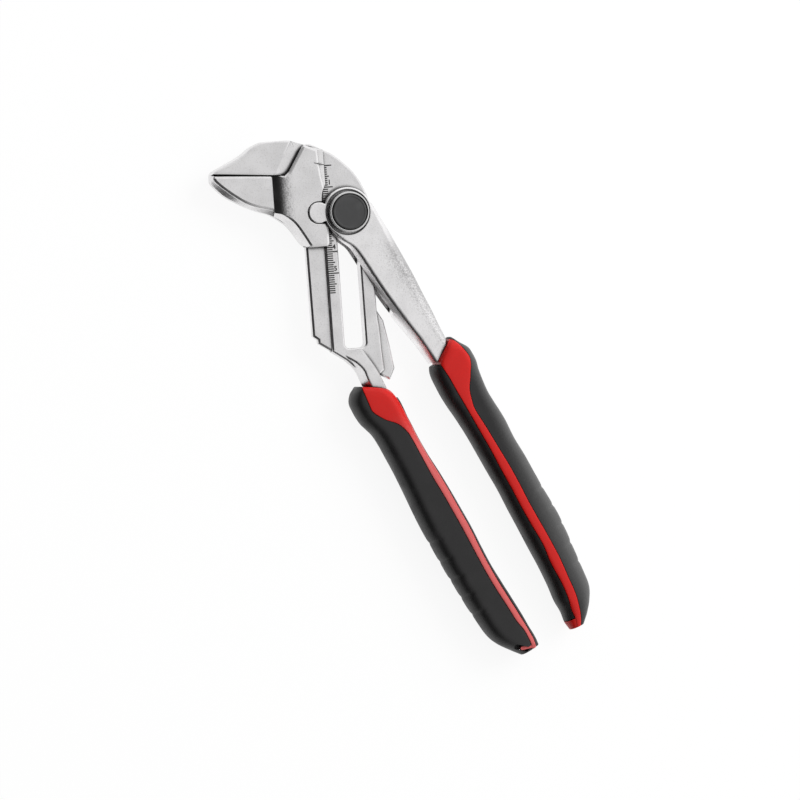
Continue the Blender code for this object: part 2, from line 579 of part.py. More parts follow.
def sliding_jaw():
    """Lower jaw with the cheeks that straddle the guide and the notch for the lever's lobe."""
    face = jaw_outline(LOWER_FACE_SHARES, LOWER_JAW_DEPTH, 1, FIT_GAP)
    middle = jaw_outline(LOWER_MID_SHARES, LOWER_JAW_DEPTH, 1, FIT_GAP)
    centre = (CHEEK_BOTTOM_REACH - CHEEK_CORNER_RADIUS, -CHEEK_EDGE - CHEEK_CORNER_RADIUS)
    corner = arc(centre, CHEEK_CORNER_RADIUS, 0, pi / 2, 4)
    top = [(-CHEEK_TOP_REACH * CHEEK_CORNER_SHARE, -CHEEK_EDGE),
           (-CHEEK_TOP_REACH, -RAIL_EDGE * CHEEK_SIDE_SHARES[0]),
           (-CHEEK_TOP_REACH + EDGE_CHAMFER, -RAIL_EDGE * CHEEK_SIDE_SHARES[1])]
    edge = jaw_outline(UPPER_BOUNDARY_SHARES[1:], UPPER_JAW_HEIGHT, -1, -FIT_GAP * 2)
    cheek_shape = corner + top + edge
    jaw = forging("sliding_jaw", face + cheek_shape, middle + cheek_shape, FORGING_HALF,
                  RAIL_HALF, "forged_steel")

    reach = JAW_OVERHANG + RAIL_EDGE + CUT_OVERRUN
    for side in (-1, 1):
        profile = [(-RAMP_TOP_EDGE, FORGING_HALF)]
        for step in range(1, RAMP_STEPS + 1):
            turn = pi / 2 * step / RAMP_STEPS
            place = RAMP_TOP_EDGE + (RAMP_FOOT_EDGE - RAMP_TOP_EDGE) * sin(turn)
            drop = (FORGING_HALF - JAW_HALF) * (1 - cos(turn))
            profile.append((-place, FORGING_HALF - drop))
        profile += [(-reach, JAW_HALF), (-reach, FORGING_THICKNESS), (-RAMP_TOP_EDGE, FORGING_THICKNESS)]
        rings = [[(x, y, MID + side * z) for y, z in profile]
                 for x in (-CHEEK_TOP_REACH - CUT_OVERRUN, LOWER_JAW_DEPTH)]
        cut(jaw, ring_loft(f"ramp_cutter_{side}", rings))

    far = CHEEK_TOP_REACH + CUT_OVERRUN
    near = CHEEK_BOTTOM_REACH + CUT_OVERRUN
    rib_top = RAIL_TOP_REACH - FIT_GAP * 3
    pocket_edge = jaw_point(UPPER_BOUNDARY_SHARES[2][0] * JAW_OVERHANG + FIT_GAP, -FIT_GAP, -1)
    web_pocket = [(-far, -CHEEK_EDGE + CUT_OVERRUN), (near, -CHEEK_EDGE + CUT_OVERRUN),
                  (near, -STEP_EDGE - FIT_GAP), (-rib_top, -STEP_EDGE - FIT_GAP),
                  (-rib_top, -RAIL_EDGE - FIT_GAP), (-FACE_ROOT_REACH + FIT_GAP, -RAIL_EDGE - FIT_GAP),
                  pocket_edge, (-far, pocket_edge[1])]
    cut(jaw, prism("web_pocket", web_pocket, MID - MORTISE_HALF, MID + MORTISE_HALF))
    rail_half = RAIL_HALF + FIT_GAP
    rail_pocket = [(-rib_top - FIT_GAP, -RAIL_EDGE - FIT_GAP), (near, -RAIL_EDGE - FIT_GAP),
                   (near, -STEP_EDGE), (-rib_top - FIT_GAP, -STEP_EDGE)]
    cut(jaw, prism("rail_pocket", rail_pocket, MID - rail_half, MID + rail_half))

    stroke = jaw_travel()
    clear = HEAD_RADIUS + RELIEF_GAP
    relief = arc((0, 0), clear, -pi / 2, pi / 2, 24) + arc((-stroke, 0), clear, pi / 2, 3 * pi / 2, 24)
    nose = LOBE_RADIUS + FIT_GAP
    notch = arc((-LOBE_LEAD, -LOBE_OFFSET), nose, 0, -pi, 14)
    notch += [(-LOBE_LEAD - nose, CUT_OVERRUN), (-LOBE_LEAD + nose, CUT_OVERRUN)]
    for side in (-1, 1):
        inner = MID + side * WEB_HALF
        outer = MID + side * FORGING_THICKNESS
        low, high = min(inner, outer), max(inner, outer)
        cut(jaw, prism(f"head_relief_{side}", relief, low, high))
        cut(jaw, prism(f"lobe_notch_{side}", notch, low, high))
    return jaw


def jaw_travel():
    """Travel that the lobe gives the jaw over the lever's range."""
    return LOBE_OFFSET * sin(LEVER_TRAVEL) + LOBE_LEAD * (1 - cos(LEVER_TRAVEL))


def right_grip_start():
    """Start of the lever's grip at the end of the arm."""
    along, across = RIGHT_GRIP_SHARES_ON_ARM
    return in_frame(along * ARM_LENGTH, across * ARM_WIDTH, (0, 0), ARM_ANGLE)


def arm_section(low_mid, low_face, high_face, high_mid, rise):
    """Section of the arm: a slope on the hand gap's side, a round shoulder on the other."""
    half = rise * FORGING_HALF
    land = half * ARM_LAND_SHARE
    widths = [share * ARM_WIDTH for share in (low_mid, low_face, high_face, high_mid)]
    out, up = ARM_SHOULDER_SHARES
    shoulder = widths[2] + (widths[3] - widths[2]) * out
    upper = [(widths[3], land), (shoulder, half * up), (widths[2], half), (widths[1], half),
             (widths[0], land)]
    lower = [(across, -height) for across, height in reversed(upper)]
    return upper + lower


def pivot_handle():
    """Forked lever: round head with its lobe, sloped arm and tang."""
    head_face = circle((0, 0), HEAD_RADIUS)
    lever = plate("pivot_handle", head_face, FORGING_HALF, "forged_steel")
    lobe = plate("lobe", circle((-LOBE_LEAD, -LOBE_OFFSET), LOBE_RADIUS, SMALL_SIDES),
                 FORGING_HALF - SURFACE_STEP)
    rings = []
    for row in ARM_SHARES:
        rings.append(section_ring(row[0] * ARM_LENGTH, arm_section(*row[1:]), (0, 0), ARM_ANGLE))
    arm_end = RIGHT_GRIP_SHARES[0][0] * GRIP_LENGTH - FIT_GAP
    rings.append(section_ring(arm_end, arm_section(*ARM_END_SHARES), right_grip_start(),
                              RIGHT_GRIP_ANGLE, 1))
    arm = ring_loft("lever_arm", rings, twisted=True, slanted=True)
    stem = tang("right_tang", RIGHT_GRIP_SHARES, 1, RIGHT_TANG_ENTRY_SHARE, right_grip_start(),
                RIGHT_GRIP_ANGLE)
    join(lever, lobe, arm, stem)

    mortise = scaled(MORTISE_SHARES, GUIDE_LENGTH, BAR_EDGE + GUARD_HEIGHT)
    cut(lever, prism("mortise", mortise, MID - MORTISE_HALF, MID + MORTISE_HALF))
    front_bore = circle((0, 0), SHANK_RADIUS + FIT_GAP)
    cut(lever, prism("front_bore", front_bore, MID, FRONT_FACE + CUT_OVERRUN))
    counterbore = circle((0, 0), COUNTERBORE_RADIUS)
    cut(lever, prism("counterbore", counterbore, FRONT_FACE - COUNTERBORE_DEPTH, FRONT_FACE + CUT_OVERRUN))
    rear_bore = circle((0, 0), COVER_BORE_RADIUS)
    cut(lever, prism("rear_bore", rear_bore, REAR_FACE - CUT_OVERRUN, MID))
    return lever


def pivot_pieces():
    """Bolt, button, spring, washer and rear cover on the pivot's axis."""
    collar_bottom = WEB_BACK + RELIEF_GAP / 4
    collar_top = collar_bottom + COLLAR_THICKNESS
    bolt_bottom = collar_bottom - BOLT_TAIL
    cap_top = FRONT_FACE + CAP_HEIGHT + FIT_GAP
    cap_bottom = cap_top - CAP_HEIGHT
    washer_bottom = FRONT_FACE - COUNTERBORE_DEPTH + FIT_GAP
    washer_top = washer_bottom + WASHER_THICKNESS
    ceiling = washer_top + BUTTON_TRAVEL + SPRING_WIRE + FIT_GAP * 2
    hub_bottom = ceiling - HUB_DEPTH
    bolt_top = hub_bottom - FIT_GAP
    pocket_floor = cap_top - DISC_POCKET_DEPTH
    head_top = pocket_floor - FIT_GAP / 2
    head_bottom = head_top - SCREW_HEAD_THICKNESS
    screw_bottom = head_bottom - SCREW_LENGTH
    hole = SCREW_RADIUS + FIT_GAP

    bolt = turned("locking_bolt", [
        (0, bolt_bottom), (SHANK_RADIUS - EDGE_CHAMFER, bolt_bottom),
        (SHANK_RADIUS, bolt_bottom + EDGE_CHAMFER), (SHANK_RADIUS, bolt_top),
        (hole, bolt_top), (hole, screw_bottom - FIT_GAP), (0, screw_bottom - FIT_GAP)], "button_steel")
    for index in (-1, 0, 1):
        outline = tooth(index * RACK_PITCH, -1, SHANK_RADIUS / 2, TOOTH_REACH, 0)
        join(bolt, prism(f"tooth_{index}", outline, collar_bottom, collar_top))

    cap_hole = SCREW_HEAD_RADIUS + FIT_GAP
    turned("push_button", [
        (CAP_RADIUS - EDGE_CHAMFER / 2, cap_bottom), (CAP_RADIUS, cap_bottom + EDGE_CHAMFER / 2),
        (CAP_RADIUS, cap_top - EDGE_CHAMFER), (CAP_RADIUS - EDGE_CHAMFER / 2, cap_top - EDGE_CHAMFER / 4),
        (CAP_RADIUS - EDGE_CHAMFER, cap_top), (DISC_RADIUS + FIT_GAP, cap_top),
        (DISC_RADIUS + FIT_GAP, pocket_floor), (cap_hole, pocket_floor),
        (cap_hole, head_bottom - FIT_GAP), (hole, head_bottom - FIT_GAP), (hole, hub_bottom),
        (SHANK_RADIUS, hub_bottom), (SHANK_RADIUS, ceiling), (CAP_RADIUS - CAP_WALL, ceiling),
        (CAP_RADIUS - CAP_WALL, cap_bottom)], "button_steel")
    turned("button_screw", [
        (0, screw_bottom), (SCREW_RADIUS, screw_bottom), (SCREW_RADIUS, head_bottom),
        (SCREW_HEAD_RADIUS, head_bottom), (SCREW_HEAD_RADIUS, head_top), (0, head_top)],
        "button_steel", SMALL_SIDES)
    disc_bottom = pocket_floor + FIT_GAP
    disc_top = disc_bottom + DISC_THICKNESS
    turned("button_disc", [
        (0, disc_bottom), (DISC_RADIUS, disc_bottom), (DISC_RADIUS, disc_top - EDGE_CHAMFER / 2),
        (DISC_RADIUS - EDGE_CHAMFER / 2, disc_top), (0, disc_top)], "disc_black")

    inner = SHANK_RADIUS + FIT_GAP
    outer = CAP_RADIUS - CAP_WALL - FIT_GAP
    turned("spring_washer", [
        (inner, washer_bottom), (outer, washer_bottom), (outer, washer_top),
        (inner, washer_top)], "button_steel")
    return_spring(washer_top + FIT_GAP, ceiling - FIT_GAP)

    plug = COVER_BORE_RADIUS - FIT_GAP
    flange_top = REAR_FACE - FIT_GAP
    plug_top = flange_top + COVER_PLUG_LENGTH
    turned("rear_cover", [
        (0, 0), (COVER_FLANGE_RADIUS - EDGE_CHAMFER, 0),
        (COVER_FLANGE_RADIUS, EDGE_CHAMFER), (COVER_FLANGE_RADIUS, flange_top),
        (plug, flange_top), (plug, plug_top), (inner, plug_top), (inner, flange_top),
        (0, flange_top)], "button_steel")


def return_spring(bottom, top):
    """Conical spring under the button: one unbroken wire, wider at the washer."""
    steps = int(SPRING_TURNS * 16)
    half = SPRING_WIRE / 2
    rise = top - bottom - SPRING_WIRE
    shape = bmesh.new()
    rows = []
    for step in range(steps + 1):
        share = step / steps
        turn = 2 * pi * SPRING_TURNS * share
        radius = SPRING_BOTTOM_RADIUS + (SPRING_TOP_RADIUS - SPRING_BOTTOM_RADIUS) * share
        height = bottom + half + rise * share
        row = []
        for corner in range(6):
            angle = 2 * pi * corner / 6 + pi / 6
            reach = radius + half * cos(angle)
            row.append(shape.verts.new((reach * cos(turn), reach * sin(turn), height + half * sin(angle))))
        rows.append(row)
    for lower, upper in zip(rows, rows[1:]):
        for index in range(6):
            after = (index + 1) % 6
            shape.faces.new((lower[index], lower[after], upper[after], upper[index]))
    shape.faces.new(rows[0])
    shape.faces.new(rows[-1])
    return smooth_sides(link_mesh("return_spring", shape, "button_steel"), radians(70))


def edge_height(across, low, high, half):
    """Height of a grip's surface, flat in the middle and round towards both sides."""
    radius = min(GRIP_EDGE_RADIUS, (high - low) / 2)
    depth = max(radius - (high - across), radius - (across - low), 0)
    share = min(depth / radius, 1)
    bend, rise = GRIP_EDGE_POWERS
    return half * (1 - share ** bend) ** (1 / rise)


def grip_sections(table, palm, low_column, high_column, pull):
    """Sections of one grip piece between two columns of a table of shares."""
    sections = []
    for row in table:
        along = row[0] * GRIP_LENGTH
        low, high = row[4] * GRIP_WIDTH, row[1] * GRIP_WIDTH
        half = row[5] * GRIP_THICKNESS / 2
        start = row[low_column] * GRIP_WIDTH + pull[0]
        end = row[high_column] * GRIP_WIDTH - pull[1]
        shares = ROUND_SIDE_SHARES if high_column == 1 else [1 - share for share in ROUND_SIDE_SHARES][::-1]
        upper = []
        for share in shares:
            across = start + (end - start) * share
            height = max(edge_height(across, low, high, half), half * GRIP_RIM_SHARE)
            upper.append((palm * across, height))
        lower = [(across, -height) for across, height in reversed(upper)]
        sections.append((along, upper + lower))
    return sections


def sleeve_sections(table, palm, grow):
    """Sections of the core inside the soft shells, each midway between two rows of the table."""
    sections = []
    for first, second in zip(table[1:-2], table[2:-1]):
        row = [(one + other) / 2 for one, other in zip(first, second)]
        low = row[4] * GRIP_WIDTH + GRIP_WALL * PAD_WALL_SHARE - grow
        high = row[1] * GRIP_WIDTH - GRIP_WALL + grow
        half = min(CORE_HEIGHT / 2, row[5] * GRIP_THICKNESS / 2 - GRIP_WALL) + grow
        corner = GRIP_WALL * SLEEVE_CORNER_SHARE
        points = rounded_box(low, high, half, corner)
        sections.append((row[0] * GRIP_LENGTH, [(palm * across, height) for across, height in points]))
    return sections


def stretched_ends(sections):
    """Stretch a hollow by the fit gap at both ends."""
    first = sections[0]
    last = sections[-1]
    return [(first[0] - FIT_GAP, first[1])] + sections[1:-1] + [(last[0] + FIT_GAP, last[1])]


def grip(side, table, palm, entry, start, angle):
    """Core with its raised stripe, palm shell and inner pad of one grip."""
    stripe_sections = grip_sections(table, palm, 3, 2, (FIT_GAP / 2, FIT_GAP / 2))
    core = section_loft(f"{side}_grip_core", stripe_sections, start, angle, "grip_red", palm)
    join(core, section_loft(f"{side}_sleeve", sleeve_sections(table, palm, 0), start, angle, None, palm))
    cut(core, tang(f"{side}_tang_pocket", table, palm, entry, start, angle, FIT_GAP))

    hollow = stretched_ends(sleeve_sections(table, palm, FIT_GAP))
    palm_sections = grip_sections(table, palm, 2, 1, (FIT_GAP / 2, 0))
    shell = section_loft(f"{side}_palm_shell", palm_sections, start, angle, "grip_black", palm)
    cut(shell, section_loft(f"{side}_palm_hollow", hollow, start, angle, None, palm))
    pad_sections = grip_sections(table[PAD_FIRST_ROWS[side]:], palm, 4, 3, (0, FIT_GAP / 2))
    pad = section_loft(f"{side}_inner_pad", pad_sections, start, angle, "grip_black", palm)
    cut(pad, section_loft(f"{side}_pad_hollow", hollow, start, angle, None, palm))
    for piece in (core, shell, pad):
        smooth_sides(piece, radians(40))


def main():
    """Build every piece of the wrench."""
    clear_scene()
    fixed_handle()
    sliding_jaw()
    pivot_handle()
    pivot_pieces()
    grip("left", LEFT_GRIP_SHARES, -1, LEFT_TANG_ENTRY_SHARE, LEFT_GRIP_START, LEFT_GRIP_ANGLE)
    grip("right", RIGHT_GRIP_SHARES, 1, RIGHT_TANG_ENTRY_SHARE, right_grip_start(), RIGHT_GRIP_ANGLE)


main()
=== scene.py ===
"""Looks of the pliers wrench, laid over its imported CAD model, in metres.

+X runs along the slotted guide towards the grips, +Y to the lever's side, +Z up out of the front
face. Each operator makes one piece or one group of like pieces, and main() calls them in order.
"""

from math import acos, atan2, cos, exp, pi, radians, sin

import bmesh
import bpy
from mathutils import Matrix, Vector


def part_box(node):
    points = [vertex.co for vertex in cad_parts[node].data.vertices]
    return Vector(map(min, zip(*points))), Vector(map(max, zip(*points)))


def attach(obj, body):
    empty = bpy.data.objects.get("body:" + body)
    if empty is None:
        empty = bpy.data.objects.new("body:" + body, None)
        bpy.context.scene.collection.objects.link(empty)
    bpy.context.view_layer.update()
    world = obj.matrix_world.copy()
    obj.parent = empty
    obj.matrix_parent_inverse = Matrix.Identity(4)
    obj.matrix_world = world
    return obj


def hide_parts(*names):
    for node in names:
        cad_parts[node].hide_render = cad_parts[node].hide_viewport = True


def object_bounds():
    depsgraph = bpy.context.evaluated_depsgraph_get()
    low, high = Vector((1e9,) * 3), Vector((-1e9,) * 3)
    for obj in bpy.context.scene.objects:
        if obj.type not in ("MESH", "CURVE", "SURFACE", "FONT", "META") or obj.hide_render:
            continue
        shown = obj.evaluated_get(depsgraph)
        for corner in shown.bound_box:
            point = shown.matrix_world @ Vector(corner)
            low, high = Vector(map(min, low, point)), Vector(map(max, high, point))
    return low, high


bl_info = {
    "name": "Pliers wrench looks",
    "version": (1, 0, 0),
    "blender": (4, 5, 0),
    "location": "3D View > Sidebar > Wrench",
    "description": "Finished surfaces of a parallel-jaw pliers wrench around its CAD model",
    "category": "Object",
}

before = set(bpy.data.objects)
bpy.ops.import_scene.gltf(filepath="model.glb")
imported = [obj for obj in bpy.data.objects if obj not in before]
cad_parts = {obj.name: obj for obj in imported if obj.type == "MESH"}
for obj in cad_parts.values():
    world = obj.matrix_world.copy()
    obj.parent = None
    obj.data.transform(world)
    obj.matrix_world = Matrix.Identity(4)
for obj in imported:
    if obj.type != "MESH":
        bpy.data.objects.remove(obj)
CAD_BOX = [list(corner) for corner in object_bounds()]

# Heights and half thicknesses of the CAD solids, about the middle plane
MID = 0.009
FORGING_HALF = 0.0075
FORGING_THICKNESS = 0.015
JAW_HALF = 0.0051
FACET_HALF = 0.0043
WEB_HALF = 0.0035
RAIL_HALF = 0.00225
FRONT_FACE = MID + FORGING_HALF
GAP = 0.0003
OVERRUN = 0.004
STEP = 0.00002
ON_AXIS = 1e-7
SHARPEST_TURN = 0.35
WALL_SHARES = (0.04, 0.25, 0.5, 0.75, 0.96)
# Roundness of the head, the jaw, its tip and the rail, in shares of the other edges'
HEAD_ROUND = 0.7
JAW_ROUND = 1.35
TIP_ROUND = 1.5
RAIL_ROUND = 1.3
# Rounded edge of a forging, in shares of its radius: in from the wall, and down from the face
EDGE_PROFILE = ((0, 0.78), (0.03, 0.62), (0.13, 0.48), (0.33, 0.345), (0.6, 0.19), (0.84, 0.065),
                (1, 0))

# Guide of the fixed handle
SLOT_TOP_REACH = 0.0075
SLOT_HALF = 0.005
GUIDE_LENGTH = 0.0643
SLOT_BOTTOM_REACH = 0.063
BAR_EDGE = 0.0113
STEP_EDGE = 0.0111
RAIL_EDGE = 0.0202
RAIL_TOP_REACH = 0.016
SPINE_REACH = 0.0326
GUARD_LENGTH = 0.0345
GUARD_HEIGHT = 0.0068
RACK_PITCH = 0.003
RACK_DEPTH = 0.001
RACK_TOP = MID - WEB_HALF + 0.0022
RACK_ROOT_HALF = 0.0008
RACK_TIP_HALF = 0.00045
RACK_OVERLAP = 0.0009
SLOT_CORNER_RADIUS = 0.0022

# Jaws
FACE_TILT = radians(3.6)
FACE_ROOT_REACH = 0.0186
JAW_OVERHANG = 0.0424
UPPER_JAW_HEIGHT = 0.0153
LOWER_JAW_DEPTH = 0.0337
CHEEK_BOTTOM_REACH = 0.0151
CHEEK_EDGE = 0.0096
CHEEK_CORNER_RADIUS = 0.0016
CHEEK_TOP_REACH = 0.0323
RAMP_TOP_EDGE = 0.0252
RAMP_FOOT_EDGE = 0.0342
# Space between the closed jaws, and how far the groove between their front edges reaches each way
CONTACT_GAP = 0.00006
CONTACT_GROOVE = 0.0004
# Slope along the cheek's right edge: how far up it each place lies, and how wide it is there
SLOPE_REACHES = (0.0085, 0.0120, 0.0170, 0.0230, 0.0275, 0.0297)
SLOPE_WIDTHS = (0.0006, 0.0016, 0.0023, 0.0026, 0.0026)
SLOPE_DROP = 0.0012
SHOULDER_SHARE = 0.6
CHEEK_TOP_SHARES = (0.9, 0.95)
CHEEK_TOP_CHAMFER = 0.0005
TIP_ROOT_SHARES = [(0.1, 0.55), (0.1, 0)]
# Ramp from the cheek down to the jaw, in shares of its width and of its drop
RAMP_SHARES = [
    (0, 0), (0.2, 0.02), (0.4, 0.075), (0.52, 0.15), (0.62, 0.25), (0.75, 0.45), (1, 0.93)]

# Lever and pivot
HEAD_RADIUS = 0.0115
LOBE_RADIUS = 0.0049
LOBE_OFFSET = 0.0138
LOBE_LEAD = 0.0006
LOBE_FILLET = 0.00035
JAW_STROKE = 0.00655
ARM_ANGLE = radians(30.3)
ARM_LENGTH = 0.083
ARM_WIDTH = 0.0249
ARM_SLOPE_RADIUS = 0.0014
SHANK_RADIUS = 0.0047
COUNTERBORE_RADIUS = 0.0105
COUNTERBORE_DEPTH = 0.0023
COVER_BORE_RADIUS = 0.00715
HEAD_CLEARANCE = 0.0004
# Push button, from its top down and from its rim in
DISC_SEAT_DEPTH = 0.0008
SCREW_SEAT_DEPTH = 0.00195
SCREW_HEAD_RADIUS = 0.003
SCREW_BORE_RADIUS = 0.0018
CAP_WALL = 0.0012
CAP_HOLLOW = 0.0017
CAP_HUB = 0.0014
CAP_ROUND = 0.0002
DISC_DISH = 0.00012
DISC_RIM = 0.0009
COVER_DISH = 0.0004
COVER_CHAMFER = 0.0005

# Grips
GRIP_LENGTH = 0.1456
GRIP_WIDTH = 0.020
GRIP_HALF = 0.009
GRIP_EDGE_RADIUS = 0.0062
GRIP_WALL = 0.0026
CORE_HALF = 0.0063
SLEEVE_CORNER = 0.0015
INNER_WALL_SHARE = 0.7
TANG_LENGTH = 0.112
NECK_LENGTH = 0.0250
NECK_FOOT_REACH = 0.0172
NECK_SLOPES = (0.0006, 0.0016)
NECK_SLOPE_SHARE = 0.4
NECK_SHOULDER = 0.0012
NECK_SLOPE_RADIUS = 0.0010
TANG_HALF_WIDTH = 0.0034
TANG_HALF_HEIGHT = 0.0046
TANG_CORNER = 0.0014
TANG_TAPER = 0.28
TANG_BEND_SHARE = 0.12
# Lines that the arm and the grips lie on: start, turn and side of the palm
ARM = ((0, 0), ARM_ANGLE, 1)
LEFT_GRIP = ((0.0815, 0.0072), radians(27.7), -1)
RIGHT_GRIP = ((0.06805, 0.04230), radians(21.43), 1)
# Window in the left grip's end: both ends of it, then of the core's tongue in it, and half widths
END_WINDOW = ((0.1390, -0.0066), (0.1424, -0.0030))
END_TONGUE = ((0.1410, -0.0046), (0.1428, 0.0006))
WINDOW_HALF = 0.0012
TONGUE_HALF = 0.0008
TONGUE_DEPTH = 0.0014
WINDOW_FLOOR = 0.0020
HEEL_GAP = 0.003
# Middles of the short palm grooves, in shares of the grip's length, and their sizes
GROOVE_SHARES = (0.527, 0.595, 0.662, 0.729, 0.795)
GROOVE_HALF_WIDTH = 0.00085
GROOVE_REACH = 0.0062
GROOVE_WEIGHT = 0.8
GROOVE_PULL = 0.45
WAVE_HALF_WIDTH = 0.0030
WAVE_SHARE = 0.35
SHELL_RELIEF = 0.0003
RIM = 0.0002
SECTION_STEPS = 22

# Opening scale on the guide
SCALE_START = -0.0222
SCALE_EDGE = -0.0105
SCALE_MARKS = 60
FIGURE_SIZE = 0.0030
FIGURE_SHIFT = -0.0012
FIGURE_EDGE = -0.0069
FIGURE_SPREAD = 0.0001
FIGURE_RISE = 0.00002
MARK_RISE = 0.00004
INDEX_LINE = ((-0.0237, -0.0144), (-0.0226, -0.0099))
INDEX_HALF = 0.00016

# Camera of the photograph: where the middle of the picture points, its axes and its width
VIEW_CENTRE = Vector((0.0888, 0.0206, 0.0068))
VIEW_RIGHT = Vector((0.0728, 0.9676, 0.2419))
VIEW_UP = Vector((-0.9972, 0.0750, 0.0))
VIEW_DISTANCE = 3.0
VIEW_WIDTH = 0.3721
SENSOR_WIDTH = 36.0
LAMP_PLACE = Vector((-0.75, 1.25, 1.15))
LAMP_SIZE = 1.2
LAMP_POWER = 18
FLOOR_MIDDLE = (0.09, 0.02)
FLOOR_RADIUS = 9.0
FLOOR_HEIGHT = -0.0001

# Shares of the jaw's overhang and height, from the tip of the face to the root
UPPER_FACE_SHARES = [
    (0.97, 0), (0.94, 0.07), (0.66, 0.5), (0.54, 0.76), (0.455, 0.9), (0.4, 0.965), (0.3, 0.995),
    (0.13, 0.995)]
UPPER_MID_SHARES = [
    (1, 0), (0.965, 0.12), (0.68, 0.56), (0.56, 0.82), (0.465, 0.955), (0.405, 1), (0.3, 1.02),
    (0.1, 1.02)]
UPPER_CREASE_SHARES = [(0.185, 0.64), (0.245, 0.33), (0.295, 0)]
UPPER_BOUNDARY_SHARES = [(-0.03, 0.92), (0.145, 0.14), (0.2, 0)]
# The same of the overhang and the lower jaw's depth, from the tip to the cheek's bottom
LOWER_FACE_SHARES = [
    (0.975, 0), (0.985, 0.04), (0.955, 0.095), (0.83, 0.22), (0.645, 0.365), (0.5, 0.433),
    (0.325, 0.481), (0.184, 0.567), (0.078, 0.68), (-0.024, 0.86), (-0.0755, 0.96), (-0.105, 0.98)]
LOWER_MID_SHARES = [
    (1, 0), (1, 0.05), (0.99, 0.12), (0.855, 0.28), (0.665, 0.405), (0.495, 0.49), (0.33, 0.552),
    (0.175, 0.67), (0.085, 0.79), (0.004, 0.925), (-0.06, 0.99), (-0.1, 1)]
# Shares of the spine's reach and of the bar's edge
SPINE_SHARES = [
    (-0.985, -1.55), (-1, -1.32), (-0.915, -0.83), (-0.84, -0.42), (-0.73, -0.03), (-0.59, 0.37),
    (-0.455, 0.64), (-0.35, 0.79), (-0.22, 0.95), (-0.15, 1)]
NECK_FOOT_SHARES = [
    (-1.05, 1), (-0.52, 1.06), (0.035, 1.09), (0.58, 1.14), (0.675, 0.95), (0.895, 0.4),
    (0.45, -0.1), (0.245, -0.42), (0, -0.96)]
GUARD_SHARES = [
    (-1.036, -0.25), (-1.03, 0), (-0.875, 0.46), (-0.546, 0.765), (-0.226, 1), (-0.076, 0.62),
    (-0.136, 0.1), (-0.177, -0.25)]
RAIL_END_SHARES = [(0.877, -0.97), (0.905, -0.856), (0.932, -0.852), (1, -0.53)]
# Shares of the neck's length, then of the grip's width for both sides, then of the forging
NECK_SHARES = [
    (-0.96, -0.42, 0.1, 0.44), (-0.8, -0.31, 0.2, 0.46), (-0.68, -0.235, 0.25, 0.56),
    (-0.54, -0.175, 0.25, 0.76), (-0.44, -0.155, 0.25, 0.93), (-0.34, -0.15, 0.255, 1),
    (-0.21, -0.17, 0.265, 0.95)]
NECK_END_SHARES = (-0.19, 0.25, 0.84)
# Shares of the arm's length, then of its width: low middle, low face, high face, high middle;
# then the share of the forging's thickness
ARM_SHARES = [
    (-0.02, -0.45, -0.42, 0.4, 0.455, 0.998), (0.05, -0.465, -0.44, 0.41, 0.5, 0.998),
    (0.12, -0.4, -0.365, 0.385, 0.494, 0.998), (0.17, -0.345, -0.29, 0.37, 0.49, 0.998),
    (0.215, -0.34, -0.262, 0.345, 0.485, 0.998), (0.29, -0.35, -0.254, 0.315, 0.464, 0.998),
    (0.39, -0.372, -0.256, 0.275, 0.44, 0.998), (0.51, -0.374, -0.249, 0.23, 0.408, 0.998),
    (0.63, -0.35, -0.229, 0.18, 0.36, 0.975), (0.725, -0.323, -0.209, 0.15, 0.33, 0.94),
    (0.82, -0.285, -0.177, 0.125, 0.287, 0.88)]
ARM_END_SHARES = (-0.345, -0.245, 0.045, 0.138, 0.76)
MORTISE_SHARES = [
    (-0.25, 1.21), (0.045, 0.645), (0.115, 0.645), (0.2, 0.83), (0.47, 1), (0.55, 1.04), (1, 1.04),
    (1, -1.7), (-0.25, -1.7)]

# Shares of the grip's length, then of its width: palm side, stripe to the palm, stripe to the
# hand gap, hand-gap side, and last the share of the grip's thickness
LEFT_GRIP_SHARES = [
    (0.004, 0.4, 0.27, -0.24, -0.25, 0.8), (0.014, 0.55, 0.32, -0.28, -0.3, 0.95),
    (0.032, 0.67, 0.345, -0.29, -0.345, 1), (0.055, 0.7, 0.375, -0.3, -0.365, 1),
    (0.075, 0.705, 0.39, -0.3, -0.37, 1), (0.095, 0.69, 0.315, -0.3, -0.36, 1),
    (0.112, 0.65, 0.215, -0.3, -0.35, 1), (0.137, 0.595, 0.035, -0.29, -0.33, 1),
    (0.172, 0.585, -0.06, -0.28, -0.315, 1), (0.206, 0.595, -0.075, -0.26, -0.295, 1),
    (0.275, 0.62, -0.05, -0.24, -0.28, 1), (0.345, 0.665, -0.025, -0.23, -0.295, 1),
    (0.412, 0.715, -0.025, -0.22, -0.295, 1), (0.48, 0.755, -0.01, -0.2, -0.285, 1),
    (0.55, 0.77, 0.01, -0.18, -0.27, 1), (0.62, 0.785, 0.04, -0.13, -0.23, 1),
    (0.69, 0.785, 0.065, -0.1, -0.2, 1), (0.755, 0.785, 0.07, -0.09, -0.205, 1),
    (0.825, 0.765, 0.055, -0.1, -0.215, 1), (0.88, 0.73, 0.045, -0.11, -0.22, 0.97),
    (0.92, 0.625, -0.005, -0.12, -0.215, 0.9), (0.962, 0.425, 0, -0.12, -0.22, 0.76),
    (0.99, 0.275, 0.02, -0.09, -0.2, 0.55)]
